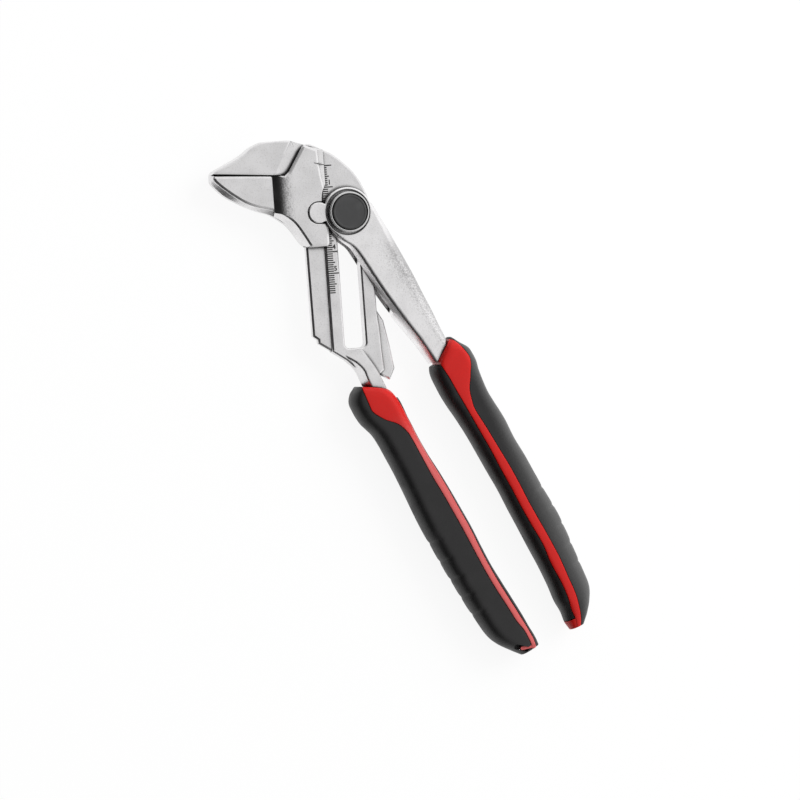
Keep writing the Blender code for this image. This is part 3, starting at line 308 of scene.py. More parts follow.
RIGHT_GRIP_SHARES = [
    (-0.011, 0.26, 0.22, -0.25, -0.27, 0.8), (0, 0.33, 0.27, -0.27, -0.44, 0.95),
    (0.018, 0.43, 0.345, -0.26, -0.48, 1), (0.04, 0.57, 0.4, -0.245, -0.5, 1),
    (0.062, 0.605, 0.435, -0.225, -0.5, 1), (0.082, 0.61, 0.38, -0.215, -0.495, 1),
    (0.105, 0.575, 0.265, -0.205, -0.49, 1), (0.137, 0.555, 0.11, -0.19, -0.475, 1),
    (0.172, 0.55, 0.045, -0.165, -0.44, 1), (0.206, 0.575, 0.02, -0.145, -0.395, 1),
    (0.275, 0.64, 0.085, -0.1, -0.325, 1), (0.345, 0.655, 0.14, -0.055, -0.28, 1),
    (0.412, 0.71, 0.195, -0.03, -0.24, 1), (0.48, 0.745, 0.23, 0.005, -0.195, 1),
    (0.55, 0.79, 0.25, 0.03, -0.175, 1), (0.62, 0.84, 0.29, 0.07, -0.145, 1),
    (0.69, 0.845, 0.33, 0.12, -0.12, 1), (0.755, 0.83, 0.355, 0.105, -0.09, 1),
    (0.825, 0.815, 0.345, 0.135, -0.08, 1), (0.88, 0.79, 0.34, 0.13, -0.095, 0.97),
    (0.92, 0.67, 0.3, 0.095, -0.07, 0.9), (0.955, 0.5, 0.25, 0.1, -0.09, 0.76),
    (0.985, 0.3, 0.18, 0.06, -0.05, 0.55)]
# Slope of the grips' fronts, where it has faded out, and between which shares a front slants
FRONT_SLANT_SHARE = 0.72
SLANT_END_SHARE = 0.14
SLANT_SIDE_SHARES = (-0.27, 0.30)
# Of each grip: its line, its table, the tang's middle where it enters, its body, its first pad row
GRIPS = {"left": (LEFT_GRIP, LEFT_GRIP_SHARES, -0.02, "fixed_side", 3),
         "right": (RIGHT_GRIP, RIGHT_GRIP_SHARES, -0.06, "lever", 1)}


def length(name, about, default, low, high):
    """Property for a length."""
    return bpy.props.FloatProperty(name=name, description=about, unit="LENGTH",
                                   default=default, min=low, max=high)


def tint(name, about, *default):
    """Property for a colour."""
    return bpy.props.FloatVectorProperty(name=name, description=about, subtype="COLOR", size=4,
                                         default=(*default, 1), min=0, max=1)


class WrenchSizes(bpy.types.PropertyGroup):
    """Sizes of the details that the scene adds to the forgings and grips."""

    edge_round: length("Edge round", "Radius of the ground edges of the forgings",
                       0.00088, 0.0001, 0.0009)
    mouth_round: length("Mouth round", "Radius round the slot, the notch and the counterbore",
                        0.0005, 0.0001, 0.0008)
    mark_pitch: length("Mark pitch", "Distance between two marks of the opening scale",
                       0.001, 0.0005, 0.005)
    mark_width: length("Mark width", "Width of one mark of the opening scale",
                       0.00056, 0.0001, 0.001)
    groove_depth: length("Groove depth", "Depth of the short grooves on the palm side of the grips",
                         0.00075, 0, 0.002)
    stripe_crown: length("Stripe crown", "How far the stripe stands proud of the soft shells",
                         0.00025, 0, 0.001)


class WrenchFinish(bpy.types.PropertyGroup):
    """Colours and gloss of the wrench's surfaces."""

    steel_colour: tint("Steel", "Colour of the satin forgings", 0.86, 0.85, 0.855)
    steel_roughness: bpy.props.FloatProperty(
        name="Steel roughness", description="Roughness of the satin forgings",
        default=0.31, min=0, max=1, subtype="FACTOR")
    button_colour: tint("Button ring", "Colour of the turned ring", 0.70, 0.70, 0.70)
    disc_colour: tint("Button disc", "Colour of the dark disc", 0.050, 0.050, 0.051)
    ink_colour: tint("Scale ink", "Colour of the burnt marks", 0.035, 0.034, 0.034)
    grip_colour: tint("Grip core", "Colour of the hard core", 0.62, 0.014, 0.011)
    rubber_colour: tint("Soft shells", "Colour of the soft shells", 0.013, 0.0125, 0.013)


def arc(centre, radius, start, end, steps):
    """Points along an arc, both ends among them."""
    angles = [start + (end - start) * step / steps for step in range(steps + 1)]
    return [(centre[0] + radius * cos(angle), centre[1] + radius * sin(angle)) for angle in angles]


def circle(centre, radius, sides=96):
    """Points round a circle."""
    return arc(centre, radius, 0, 2 * pi, sides)[:-1]


def spline(values, steps):
    """Points of a smooth curve through rows of numbers, both ends among them."""
    if len(values) < 3:
        return list(values)
    rows = [Vector(value) for value in values]
    padded = [rows[0] * 2 - rows[1]] + rows + [rows[-1] * 2 - rows[-2]]
    made = []
    for before, start, end, after in zip(padded, padded[1:], padded[2:], padded[3:]):
        for step in range(steps):
            share = step / steps
            square = share * share
            point = (start * 2 + (end - before) * share
                     + (before * 2 - start * 5 + end * 4 - after) * square
                     + (start * 3 - before - end * 3 + after) * (square * share)) / 2
            made.append(tuple(point))
    return made + [tuple(rows[-1])]


def smooth_run(points, corners=(), steps=6):
    """Outline through points, smooth but for the numbered corners."""
    stops = sorted(set(corners) | {0, len(points) - 1})
    made = []
    for start, end in zip(stops, stops[1:]):
        made += spline(points[start:end + 1], steps)[:-1]
    return made + [tuple(points[-1])]


def signed_area(outline):
    """Area of an outline, positive when it runs anticlockwise."""
    pairs = zip(outline, outline[1:] + outline[:1])
    return sum(first[0] * second[1] - second[0] * first[1] for first, second in pairs) / 2


def inset(outline, distance):
    """Move each corner of an outline inwards by one distance from both of its sides."""
    turn = 1 if signed_area(outline) > 0 else -1
    moved = []
    for index, point in enumerate(outline):
        here = Vector(point)
        first = (here - Vector(outline[index - 1])).normalized()
        second = (Vector(outline[(index + 1) % len(outline)]) - here).normalized()
        normal = Vector((-first.y - second.y, first.x + second.x)) * turn
        reach = max(normal.length_squared, SHARPEST_TURN)
        moved.append(tuple(here + normal * (2 * distance / reach)))
    return moved


def at_height(outline, height):
    """Lift a flat outline to one height."""
    return [(x, y, height) for x, y in outline]


def walls(shape, rings):
    """Rows of corners through rings of points, with the walls between them."""
    rows = [[shape.verts.new(point) for point in ring] for ring in rings]
    for lower, upper in zip(rows, rows[1:]):
        for index in range(len(lower)):
            after = (index + 1) % len(lower)
            shape.faces.new((lower[index], lower[after], upper[after], upper[index]))
    return rows


def solid(name, rings, split=False, slanted=False):
    """Closed helper solid through rings of points; slanted ends are split into triangles."""
    shape = bmesh.new()
    rows = walls(shape, rings)
    if split:
        bmesh.ops.triangulate(shape, faces=list(shape.faces))
    ends = [shape.faces.new(rows[0]), shape.faces.new(rows[-1])]
    if slanted:
        bmesh.ops.triangulate(shape, faces=ends)
    return from_bmesh(name, shape)


def loft(name, rings):
    """Closed solid through twisted rings with slanted ends."""
    return solid(name, rings, split=True, slanted=True)


def linked(name, data):
    """Object in the scene that shows some data."""
    made = bpy.data.objects.new(name, data)
    bpy.context.scene.collection.objects.link(made)
    return made


def from_bmesh(name, shape):
    """Object from a bmesh, with its faces pointing outwards."""
    bmesh.ops.recalc_face_normals(shape, faces=shape.faces)
    mesh = bpy.data.meshes.new(name)
    shape.to_mesh(mesh)
    shape.free()
    return linked(name, mesh)


def edge_rings(outline, half, radius, side, way=1, falls=None):
    """Rings that round the edge between a wall and a face; way -1 rounds the edge of a hole.

    The falls are 1 where the edge is rounded and 0 where it is only a crease.
    """
    falls = falls or [1] * len(outline)
    return [[(x, y, MID + side * (half - radius * down * fall))
             for (x, y), fall in zip(inset(outline, way * radius * inwards), falls)]
            for inwards, down in EDGE_PROFILE]


def plate(name, outline, half, radius):
    """Plate about the middle plane with rounded edges on both faces."""
    lower, upper = [edge_rings(outline, half, radius, side) for side in (-1, 1)]
    return solid(name, lower[::-1] + upper)


def prism(name, outline, bottom, top):
    """Straight block between two heights."""
    return solid(name, [at_height(outline, bottom), at_height(outline, top)])


def mouth_cutter(name, outline, floor, side, half, radius):
    """Cutter from a floor out through a face, with a mouth that rounds the face's edge over."""
    rings = [at_height(outline, floor)] + edge_rings(outline, half, radius, side, -1)
    rings.append(at_height(inset(outline, -radius), MID + side * (half + OVERRUN)))
    return solid(name, rings)


def forging(name, face, middle, half, land, radius, knees, falls=None):
    """Forged block: its middle outline stands out past its faces, whose edges are rounded.

    The knees are the heights up to which the wall stands straight before it slopes to the face.
    """
    for side in (-1, 1):
        part = [at_height(middle, MID + side * land)]
        part.append([(x, y, MID + side * knee) for (x, y), knee in zip(middle, knees)])
        rim = [half - radius * EDGE_PROFILE[0][1] * fall for fall in falls or [1] * len(middle)]
        for share in WALL_SHARES:
            part.append([(*between(outer, inner, share), MID + side * (knee + (top - knee) * share))
                         for inner, outer, knee, top in zip(face, middle, knees, rim)])
        part += edge_rings(face, half, radius, side, falls=falls)
        rings = part[::-1] if side == -1 else rings + part
    return solid(name, rings, split=True)


def combine(target, others, operation="DIFFERENCE"):
    """Union or difference with helper solids, which are used up."""
    for other in others:
        step = target.modifiers.new(other.name, "BOOLEAN")
        step.operation = operation
        step.solver = "EXACT"
        step.object = other
    bake(target)
    for other in others:
        bpy.data.objects.remove(other, do_unlink=True)


def bake(target):
    """Turn an object's modifiers into its mesh."""
    bpy.context.view_layer.update()
    graph = bpy.context.evaluated_depsgraph_get()
    mesh = bpy.data.meshes.new_from_object(target.evaluated_get(graph), depsgraph=graph)
    old = target.data
    target.modifiers.clear()
    target.data = mesh
    bpy.data.meshes.remove(old)


def complete(piece, coat, body, slot, cad_node, angle=32, weighted=True):
    """Clean a piece's mesh, shade and coat it, and let it ride in place of its CAD node."""
    shape = bmesh.new()
    shape.from_mesh(piece.data)
    for corner in shape.verts:
        corner.co = [min(max(value, low), high) for value, low, high in zip(corner.co, *CAD_BOX)]
    bmesh.ops.remove_doubles(shape, verts=shape.verts, dist=1e-6)
    bmesh.ops.dissolve_degenerate(shape, edges=shape.edges, dist=1e-6)
    bmesh.ops.recalc_face_normals(shape, faces=shape.faces)
    shape.to_mesh(piece.data)
    shape.free()
    piece.data.shade_smooth()
    piece.data.set_sharp_from_angle(angle=radians(angle))
    if weighted:
        step = piece.modifiers.new("weighted normals", "WEIGHTED_NORMAL")
        step.mode = "FACE_AREA"
        step.keep_sharp = True
        bake(piece)
    piece.data.materials.clear()
    piece.data.materials.append(finish(coat))
    settle(piece, body, slot, cad_node)


def settle(piece, body, slot, *nodes):
    """Let a finished piece ride on its body, in place of CAD nodes; the slot is not used."""
    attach(piece, body)
    if nodes:
        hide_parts(*nodes)


class Signal:
    """Output of a node, reckoned with like a number."""

    def __init__(self, tree, socket):
        self.tree = tree
        self.socket = socket

    def maths(self, operation, other):
        """Result of a maths node on this value and another."""
        return signal(self.tree, "ShaderNodeMath", 0, {0: self, 1: other}, operation=operation)

    def __add__(self, other):
        return self.maths("ADD", other)

    def __sub__(self, other):
        return self.maths("SUBTRACT", other)

    def __mul__(self, other):
        return self.maths("MULTIPLY", other)

    def __rsub__(self, whole):
        return signal(self.tree, "ShaderNodeMath", 0, {0: whole, 1: self}, operation="SUBTRACT")

    def ramp(self, low, high):
        """Smooth step from 0 at one value to 1 at another."""
        return signal(self.tree, "ShaderNodeMapRange", "Result",
                      {"Value": self, "From Min": low, "From Max": high},
                      interpolation_type="SMOOTHSTEP")


def node(tree, kind, inputs=(), **settings):
    """Node with its settings, and with its inputs wired or set to values."""
    made = tree.nodes.new(kind)
    made.location = (200 * len(tree.nodes), 0)
    for name, value in settings.items():
        setattr(made, name, value)
    plug(tree, made, dict(inputs))
    return made


def plug(tree, target, inputs):
    """Wire signals to a node's inputs, and set plain values there."""
    for label, source in inputs.items():
        if isinstance(source, Signal):
            tree.links.new(source.socket, target.inputs[label])
        else:
            target.inputs[label].default_value = source


def signal(tree, kind, output, inputs=(), **settings):
    """One output of a new node."""
    return Signal(tree, node(tree, kind, inputs, **settings).outputs[output])


def noise(tree, place, scale, detail):
    """Noise at a scale in cells to the metre."""
    return signal(tree, "ShaderNodeTexNoise", "Fac",
                  {"Vector": place, "Scale": scale, "Detail": detail})


def mixed(tree, factor, first, second, **settings):
    """Two colours mixed by a mask."""
    return signal(tree, "ShaderNodeMix", "Result", {"Factor": factor, "A": first, "B": second},
                  data_type="RGBA", **settings)


SOCKET_KINDS = {int: "Int", float: "Float", tuple: "Vector", type(None): "Material"}


def opened(name, kind, inputs):
    """New node group, and the values of its named inputs, each of its default's kind."""
    tree = bpy.data.node_groups.new(name, kind)
    for label, value in inputs.items():
        socket = tree.interface.new_socket(label, in_out="INPUT",
                                           socket_type="NodeSocket" + SOCKET_KINDS[type(value)])
        if value is not None:
            socket.default_value = value
    entry = node(tree, "NodeGroupInput")
    return tree, [Signal(tree, entry.outputs[label]) for label in inputs]


def closed(tree, results, kind="Float"):
    """Give a node group its named outputs."""
    for label in results:
        tree.interface.new_socket(label, in_out="OUTPUT", socket_type="NodeSocket" + kind)
    node(tree, "NodeGroupOutput", results)
    return tree


def blasted_grain(tree, place, grain, clouds):
    """Fine blasted grain of a satin forging, with slow waves of tone."""
    fine = noise(tree, place, grain, 3)
    coarse = noise(tree, place, grain * 0.32, 2)
    cloud = noise(tree, place, clouds, 4)
    return {"Height": fine + coarse * 0.8, "Tone": cloud.ramp(0.32, 0.68),
            "Specks": fine.ramp(0.52, 0.70)}


def edge_wear(tree, place, radius, breaks):
    """Mask of rubbed edges, from the difference between the bevelled and the true normal."""
    bevelled = signal(tree, "ShaderNodeBevel", "Normal", {"Radius": radius}, samples=4)
    true = signal(tree, "ShaderNodeNewGeometry", "Normal")
    alike = signal(tree, "ShaderNodeVectorMath", "Value", {0: bevelled, 1: true},
                   operation="DOT_PRODUCT")
    broken = noise(tree, place, breaks, 2).ramp(0.30, 0.55)
    return {"Mask": (1.0 - alike).ramp(0.01, 0.16) * broken}


def crevices(tree, reach):
    """Mask of painted shade in gaps and at the feet of steps, where little light gets in."""
    open_sky = signal(tree, "ShaderNodeAmbientOcclusion", "AO", {"Distance": reach}, samples=8)
    return {"Mask": (1.0 - open_sky).ramp(0.06, 0.44)}


def run_out(tree, place, along, specks, uneven):
    """Mask of painted light and shade that fades across a stretch and breaks up into specks where
    it is thin.
    """
    return {"Mask": (along + (noise(tree, place, specks, 2) - 0.5) * uneven).ramp(0.0, 1.0)}


def moulded_grain(tree, place, cells):
    """Spark-eroded grain of moulded plastic and rubber."""
    pits = signal(tree, "ShaderNodeTexVoronoi", "Distance", {"Vector": place, "Scale": cells},
                  feature="SMOOTH_F1")
    fine = noise(tree, place, cells * 1.7, 2)
    dust = noise(tree, place, cells * 0.06, 4)
    return {"Height": pits + fine * 0.6, "Dust": dust.ramp(0.42, 0.75)}


ORIGIN = (0.0, 0.0, 0.0)
# What fills each shared node group, and its inputs with their defaults
GROUPS = {
    "Blasted grain": (blasted_grain, {"Position": ORIGIN, "Grain": 5200.0, "Clouds": 110.0}),
    "Edge wear": (edge_wear, {"Position": ORIGIN, "Radius": 0.0006, "Breaks": 900.0}),
    "Crevices": (crevices, {"Reach": 0.0022}),
    "Run out": (run_out, {"Position": ORIGIN, "Along": 0.0, "Specks": 1500.0, "Break": 0.5}),
    "Moulded grain": (moulded_grain, {"Position": ORIGIN, "Cells": 2600.0}),
}


def placed(tree, kind, inputs):
    """Outputs of a shared node group in a material, fed with the object's own coordinates."""
    fill, defaults = GROUPS[kind]
    if kind not in bpy.data.node_groups:
        group, given = opened(kind, "ShaderNodeTree", defaults)
        closed(group, fill(group, *given))
    if "Position" in defaults:
        inputs = {"Position": own_place(tree, "Object"), **inputs}
    made = node(tree, "ShaderNodeGroup", inputs, node_tree=bpy.data.node_groups[kind])
    return {socket.name: Signal(tree, socket) for socket in made.outputs}


def own_place(tree, output):
    """Object coordinates or their normal, from the material's one coordinate node."""
    made = tree.nodes.get("Position") or node(tree, "ShaderNodeTexCoord", name="Position")
    return Signal(tree, made.outputs[output])


def blank(name):
    """Tree of a new material."""
    made = bpy.data.materials.new(name)
    made.use_nodes = True
    return made.node_tree


def coat(tree, bump, inputs):
    """Give the shader its inputs, and a bump from a height, a strength and a distance."""
    bump = zip(("Height", "Strength", "Distance"), bump)
    normal = signal(tree, "ShaderNodeBump", "Normal", bump)
    plug(tree, tree.nodes["Principled BSDF"], {"Normal": normal, **inputs})


def brighter(colour, factor):
    """The colour times a factor, at most white."""
    return (*[min(value * factor, 1) for value in colour[:3]], 1)


def in_shade(tree, colour, inputs=()):
    """The colour with painted shade, darkened in gaps and at the feet of steps."""
    hidden = placed(tree, "Crevices", dict(inputs))["Mask"]
    return mixed(tree, hidden * 0.92, colour, (0.02, 0.02, 0.02, 1))


def stretch(tree, line, across, low, high):
    """How far a place lies between two distances along a turned line or across it, 0 to 1."""
    start, angle = line[:2]
    x, y = (-sin(angle), cos(angle)) if across else (cos(angle), sin(angle))
    away = signal(tree, "ShaderNodeVectorMath", "Value",
                  {0: own_place(tree, "Object"), 1: (x, y, 0)}, operation="DOT_PRODUCT")
    origin = start[0] * x + start[1] * y
    reach = {"Value": away, "From Min": origin + low, "From Max": origin + high}
    return signal(tree, "ShaderNodeMapRange", "Result", reach, clamp=False)


def shaded(tree, colour, along, within, depth, unevenness, tone=0.02):
    """The colour, turned to a tone of grey by a mask that runs out in specks: painted shade where
    the tone is dark, painted light where it is pale.
    """
    fading = placed(tree, "Run out", {"Along": along, "Break": unevenness})
    return mixed(tree, fading["Mask"] * within * depth, colour, (tone, tone, tone, 1))


def ramp_shade(tree, colour):
    """Painted shade on the ramp beside the jaw, on what faces up or down the tool's side."""
    along = stretch(tree, (ORIGIN, 0), True, -RAMP_TOP_EDGE, -RAMP_FOOT_EDGE)
    facing = signal(tree, "ShaderNodeSeparateXYZ", "X", {"Vector": own_place(tree, "Normal")})
    flat = 1.0 - facing.maths("ABSOLUTE", 0).ramp(0.2, 0.4)
    return shaded(tree, colour, along * 1.35, flat * along.maths("LESS_THAN", 1.0), 0.66, 1.6)


def arm_shade(tree, colour):
    """Painted shade of the arm, darker towards its outer shoulder."""
    down = stretch(tree, ARM, False, 0.012, 0.034).ramp(0, 1)
    return shaded(tree, colour, stretch(tree, ARM, True, 0.0005, 0.0115), down, 0.50, 1.6)


def stripe_bloom(tree, colour):
    """Painted highlight along the left grip's stripe, a pale tone mixed into the red."""
    along = stretch(tree, LEFT_GRIP, False, 0.014, 0.040)
    return shaded(tree, colour, along, 1.0, 0.20, 0.4, 0.50)


def shell_wear(tree, colour):
    """Painted light on the outer side of the right grip's palm shell, which turns it lighter grey
    there.
    """
    across = stretch(tree, RIGHT_GRIP, True, 0.0040, 0.0130)
    return shaded(tree, colour, across, 1.0, 0.85, 0.3, 0.10)


def steel(tree, colour, shade=None, lift=1):
    """Satin steel with blasted grain, slow tone waves, rubbed edges and painted shade in gaps; the
    shade function adds more painted shade or light, and a lift above 1 is painted light.
    """
    colour = brighter(colour, lift)
    roughness = bpy.context.scene.wrench_finish.steel_roughness
    grained = placed(tree, "Blasted grain", {"Grain": 2100})
    worn = placed(tree, "Edge wear", {})["Mask"]
    toned = mixed(tree, grained["Tone"], colour, brighter(colour, 0.93))
    rubbed = mixed(tree, worn * 0.6, toned, brighter(colour, 1.18))
    speckled = mixed(tree, grained["Specks"] * 0.22, rubbed, (0.3, 0.3, 0.3, 1),
                     blend_type="MULTIPLY")
    base = in_shade(tree, speckled)
    coat(tree, (grained["Height"], 0.5, 0.00006),
         {"Base Color": shade(tree, base) if shade else base, "Metallic": 1,
          "Roughness": grained["Tone"] * 0.07 + (roughness - 0.03) - worn * 0.1})


def turned_steel(tree, colour):
    """Turned steel with fine rings round the pivot's axis, and painted shade in gaps."""
    grained = placed(tree, "Blasted grain", {"Grain": 3800})
    flat = signal(tree, "ShaderNodeVectorMath", "Vector",
                  {0: own_place(tree, "Object"), 1: (1, 1, 0)}, operation="MULTIPLY")
    radius = signal(tree, "ShaderNodeVectorMath", "Value", {0: flat}, operation="LENGTH")
    height = (radius * 42000).maths("SINE", 0) * 0.5 + grained["Height"]
    toned = mixed(tree, grained["Tone"], colour, brighter(colour, 0.86))
    coat(tree, (height, 0.12, 0.00003),
         {"Base Color": in_shade(tree, toned, {"Reach": 0.0034}), "Metallic": 1,
          "Roughness": grained["Tone"] * 0.08 + 0.2})


def burnt_ink(tree, colour):
    """Burnt marks of the scale, with a broken edge."""
    grained = placed(tree, "Blasted grain", {})
    burnt = mixed(tree, grained["Specks"], colour, brighter(colour, 2.2))
    coat(tree, (grained["Height"], 0.2, 0.00004),
         {"Base Color": burnt, "Metallic": 0.3, "Roughness": grained["Tone"] * 0.2 + 0.45})


def moulded(tree, colour, roughness, dusty, lift, cells, bump, gloss, shade=None):
    """Moulded plastic or rubber: grain, a trace of dust and a soft sheen; the shade function adds
    painted light where one is given.
    """
    grained = placed(tree, "Moulded grain", {"Cells": cells})
    base = mixed(tree, grained["Dust"], colour, brighter(colour, lift))
    coat(tree, (grained["Height"], *bump),
         {"Base Color": shade(tree, base) if shade else base, "Specular IOR Level": gloss,
          "Roughness": grained["Dust"] * dusty + roughness})


HARD_MOULDING = (0.34, 0.12, 1.06, 3000, (0.12, 0.00004), 0.25)
SOFT_MOULDING = (0.46, 0.12, 1.5, 2400, (0.35, 0.00008), 0.45)
# What makes each material, its colour's name and the rest that its maker asks for
FINISHES = {
    "satin_forging": (steel, "steel_colour"),
    # The jaw's steel with painted shade on the ramp beside the jaw
    "satin_jaw": (steel, "steel_colour", ramp_shade),
    # The lever's steel: a lighter copy of the forgings' steel as painted light, with painted shade
    # towards the arm's shoulder
    "satin_lever": (steel, "steel_colour", arm_shade, 1.12),
    "turned_ring": (turned_steel, "button_colour"),
    "scale_ink": (burnt_ink, "ink_colour"),
    "pressed_disc": (moulded, "disc_colour", 0.5, 0.15, 1.35, 3400, (0.25, 0.00008), 0.5),
    "hard_core": (moulded, "grip_colour", *HARD_MOULDING),
    # Left grip's core with a painted highlight along its stripe
    "bloomed_core": (moulded, "grip_colour", *HARD_MOULDING, stripe_bloom),
    "soft_shell": (moulded, "rubber_colour", *SOFT_MOULDING),
    # Right grip's palm shell with painted light on its outer side
    "worn_shell": (moulded, "rubber_colour", *SOFT_MOULDING, shell_wear),
}


def finish(name):
    """Material by its name, built the first time that it is asked for."""
    if name not in bpy.data.materials:
        maker, colour, *rest = FINISHES[name]
        maker(blank(name), tuple(getattr(bpy.context.scene.wrench_finish, colour)), *rest)
    return bpy.data.materials[name]


def scaled(shares, length, width, start=(0, 0)):
    """Outline points from shares of a length along X and a width along Y."""
    return [(start[0] + along * length, start[1] + across * width) for along, across in shares]


def jaw_point(along, away, side):
    """Point by its distance along the jaw face and away from it, side -1 for the upper jaw."""
    return (-FACE_ROOT_REACH - along * sin(FACE_TILT) + side * away * cos(FACE_TILT),
            -RAIL_EDGE - along * cos(FACE_TILT) - side * away * sin(FACE_TILT))


def jaw_outline(shares, height, side, gap=0):
    """Jaw points from shares of the overhang and of the height, set off the face by a gap."""
    return [jaw_point(along * JAW_OVERHANG, gap + away * height, side) for along, away in shares]


def jaw_run(shares, height, side, gap=0, corners=()):
    """Smooth jaw outline, but for the numbered corners."""
    return smooth_run(jaw_outline(shares, height, side, gap), corners, 5)


def between(first, last, share):
    """Point a share of the way from one point to another."""
    return tuple(Vector(first).lerp(Vector(last), share))


def bent(first, corner, last, share):
    """Point a share of the way along the curve that a corner pulls between two places."""
    return first.lerp(corner, share).lerp(corner.lerp(last, share), share)


def in_frame(along, across, line):
    """World place of a point given along and across a turned line."""
    start, angle = line[:2]
    return (start[0] + along * cos(angle) - across * sin(angle),
            start[1] + along * sin(angle) + across * cos(angle))


def slant(along, across):
    """Shift along a grip that slopes its front, for a place across it towards the palm."""
    low, high = SLANT_SIDE_SHARES
    reach = min(max(across, low * GRIP_WIDTH), high * GRIP_WIDTH)
    fade = max(1 - max(along, 0) / (SLANT_END_SHARE * GRIP_LENGTH), 0)
    return -FRONT_SLANT_SHARE * reach * fade


def section_ring(along, points, line, slanted=False):
    """World points of one section of a line, slanted as a grip's front where that is asked for."""
    made = []
    for across, height in points:
        shift = slant(along, line[2] * across) if slanted else 0
        made.append((*in_frame(along + shift, across, line), MID + height))
    return made


def forged_section(low, low_face, high_face, high, half, radius):
    """Section of a forged bar, sloped on the low side and round on the high one."""
    land = half / 3
    upper = []
    for step in range(9):
        angle = pi / 2 * step / 8
        upper.append((high_face + (high - high_face) * cos(angle),
                      land + (half - land) * sin(angle)))
    slope = Vector((low - low_face, land - half)).normalized()
    corner = Vector((low_face, half))
    level = Vector((low_face + radius, half))
    upper += [tuple(bent(level, corner, corner + slope * radius, step / 4)) for step in range(5)]
    foot = Vector((low, land))
    upper += [tuple(foot - slope * radius), (foot.x, foot.y - radius)]
    return upper + [(across, -height) for across, height in reversed(upper)]


def rounded_section(low, high, half, corner):
    """Section of a bar with round corners."""
    points = []
    low, high, rise = low + corner, high - corner, half - corner
    for turn, place in enumerate(((high, rise), (low, rise), (low, -rise), (high, -rise))):
        points += arc(place, corner, turn * pi / 2, (turn + 1) * pi / 2, 3)
    return points


def forged_bar(name, rings, section, side):
    """Forged bar through rings, turned in three steps to slant as a grip's front."""
    grip, shares = GRIPS[side][:2]
    end = section_ring(shares[0][0] * GRIP_LENGTH - GAP, section, grip, True)
    turned_rings = [[between(one, other, step / 3) for one, other in zip(rings[-1], end)]
                    for step in (1, 2, 3)]
    return loft(name, rings + turned_rings)


def slot_outline():
    """Outline of the guide's slot: round at the top, round corners at the bottom."""
    radius = SLOT_CORNER_RADIUS
    bottom = SLOT_BOTTOM_REACH
    points = arc((bottom - radius, SLOT_HALF - radius), radius, pi / 2, 0, 8)
    points += arc((bottom - radius, radius - SLOT_HALF), radius, 0, -pi / 2, 8)
    return points + arc((SLOT_HALF - SLOT_TOP_REACH, 0), SLOT_HALF, -pi / 2, -3 * pi / 2, 32)


def rack_cutter():
    """All the notches of the rack as one cutter, in the rear of the slot's wall by the rail."""
    shape = bmesh.new()
    root, tip = RACK_ROOT_HALF + GAP, RACK_TIP_HALF + GAP
    near, far = RACK_OVERLAP - SLOT_HALF, -SLOT_HALF - RACK_DEPTH
    place = -RACK_PITCH
    while place < SLOT_BOTTOM_REACH - SLOT_CORNER_RADIUS - RACK_PITCH:
        outline = [(place - root, near), (place + root, near),
                   (place + tip, far), (place - tip, far)]
        heights = (MID - FORGING_HALF, RACK_TOP)
        for row in walls(shape, [at_height(outline, height) for height in heights]):
            shape.faces.new(row)
        place += RACK_PITCH
    return from_bmesh("rack_cutter", shape)


def table_row(shares, share):
    """Row of a grip's table at one share of its length."""
    for first, second in zip(shares, shares[1:]):
        if share <= second[0]:
            return between(first, second, (share - first[0]) / (second[0] - first[0]))
    return shares[-1]


def tang(name, side, grow=0):
    """Tang inside a grip, from its entry to the middle of the grip, tapering to its end."""
    grip, shares, entry = GRIPS[side][:3]
    rings = []
    for share in (-0.04, 0.01, 0.06, TANG_BEND_SHARE, 0.25, 0.50, 0.75, 1):
        along = share * TANG_LENGTH
        bend = min(max(share, 0) / TANG_BEND_SHARE, 1)
        row = table_row(shares, max(along / GRIP_LENGTH, shares[0][0]))
        centre = grip[2] * GRIP_WIDTH * (entry + ((row[4] + row[1]) / 2 - entry) * bend)
        taper = 1 - TANG_TAPER * max(share, 0)
        width = TANG_HALF_WIDTH * taper + grow
        height = TANG_HALF_HEIGHT * taper + grow
        section = rounded_section(centre - width, centre + width, height, TANG_CORNER)
        rings.append(section_ring(along + (grow if share == 1 else 0), section, grip))
    return solid(name, rings, split=True)


def neck_section(low, high, rise, growth):
    """Section of the neck: a slope on the palm side that grows away from the guide."""
    low, high = low * GRIP_WIDTH, high * GRIP_WIDTH
    slope = NECK_SLOPES[0] + NECK_SLOPES[1] * growth
    return forged_section(low, low + slope, high - NECK_SHOULDER, high, rise * FORGING_HALF,
                          NECK_SLOPE_RADIUS)


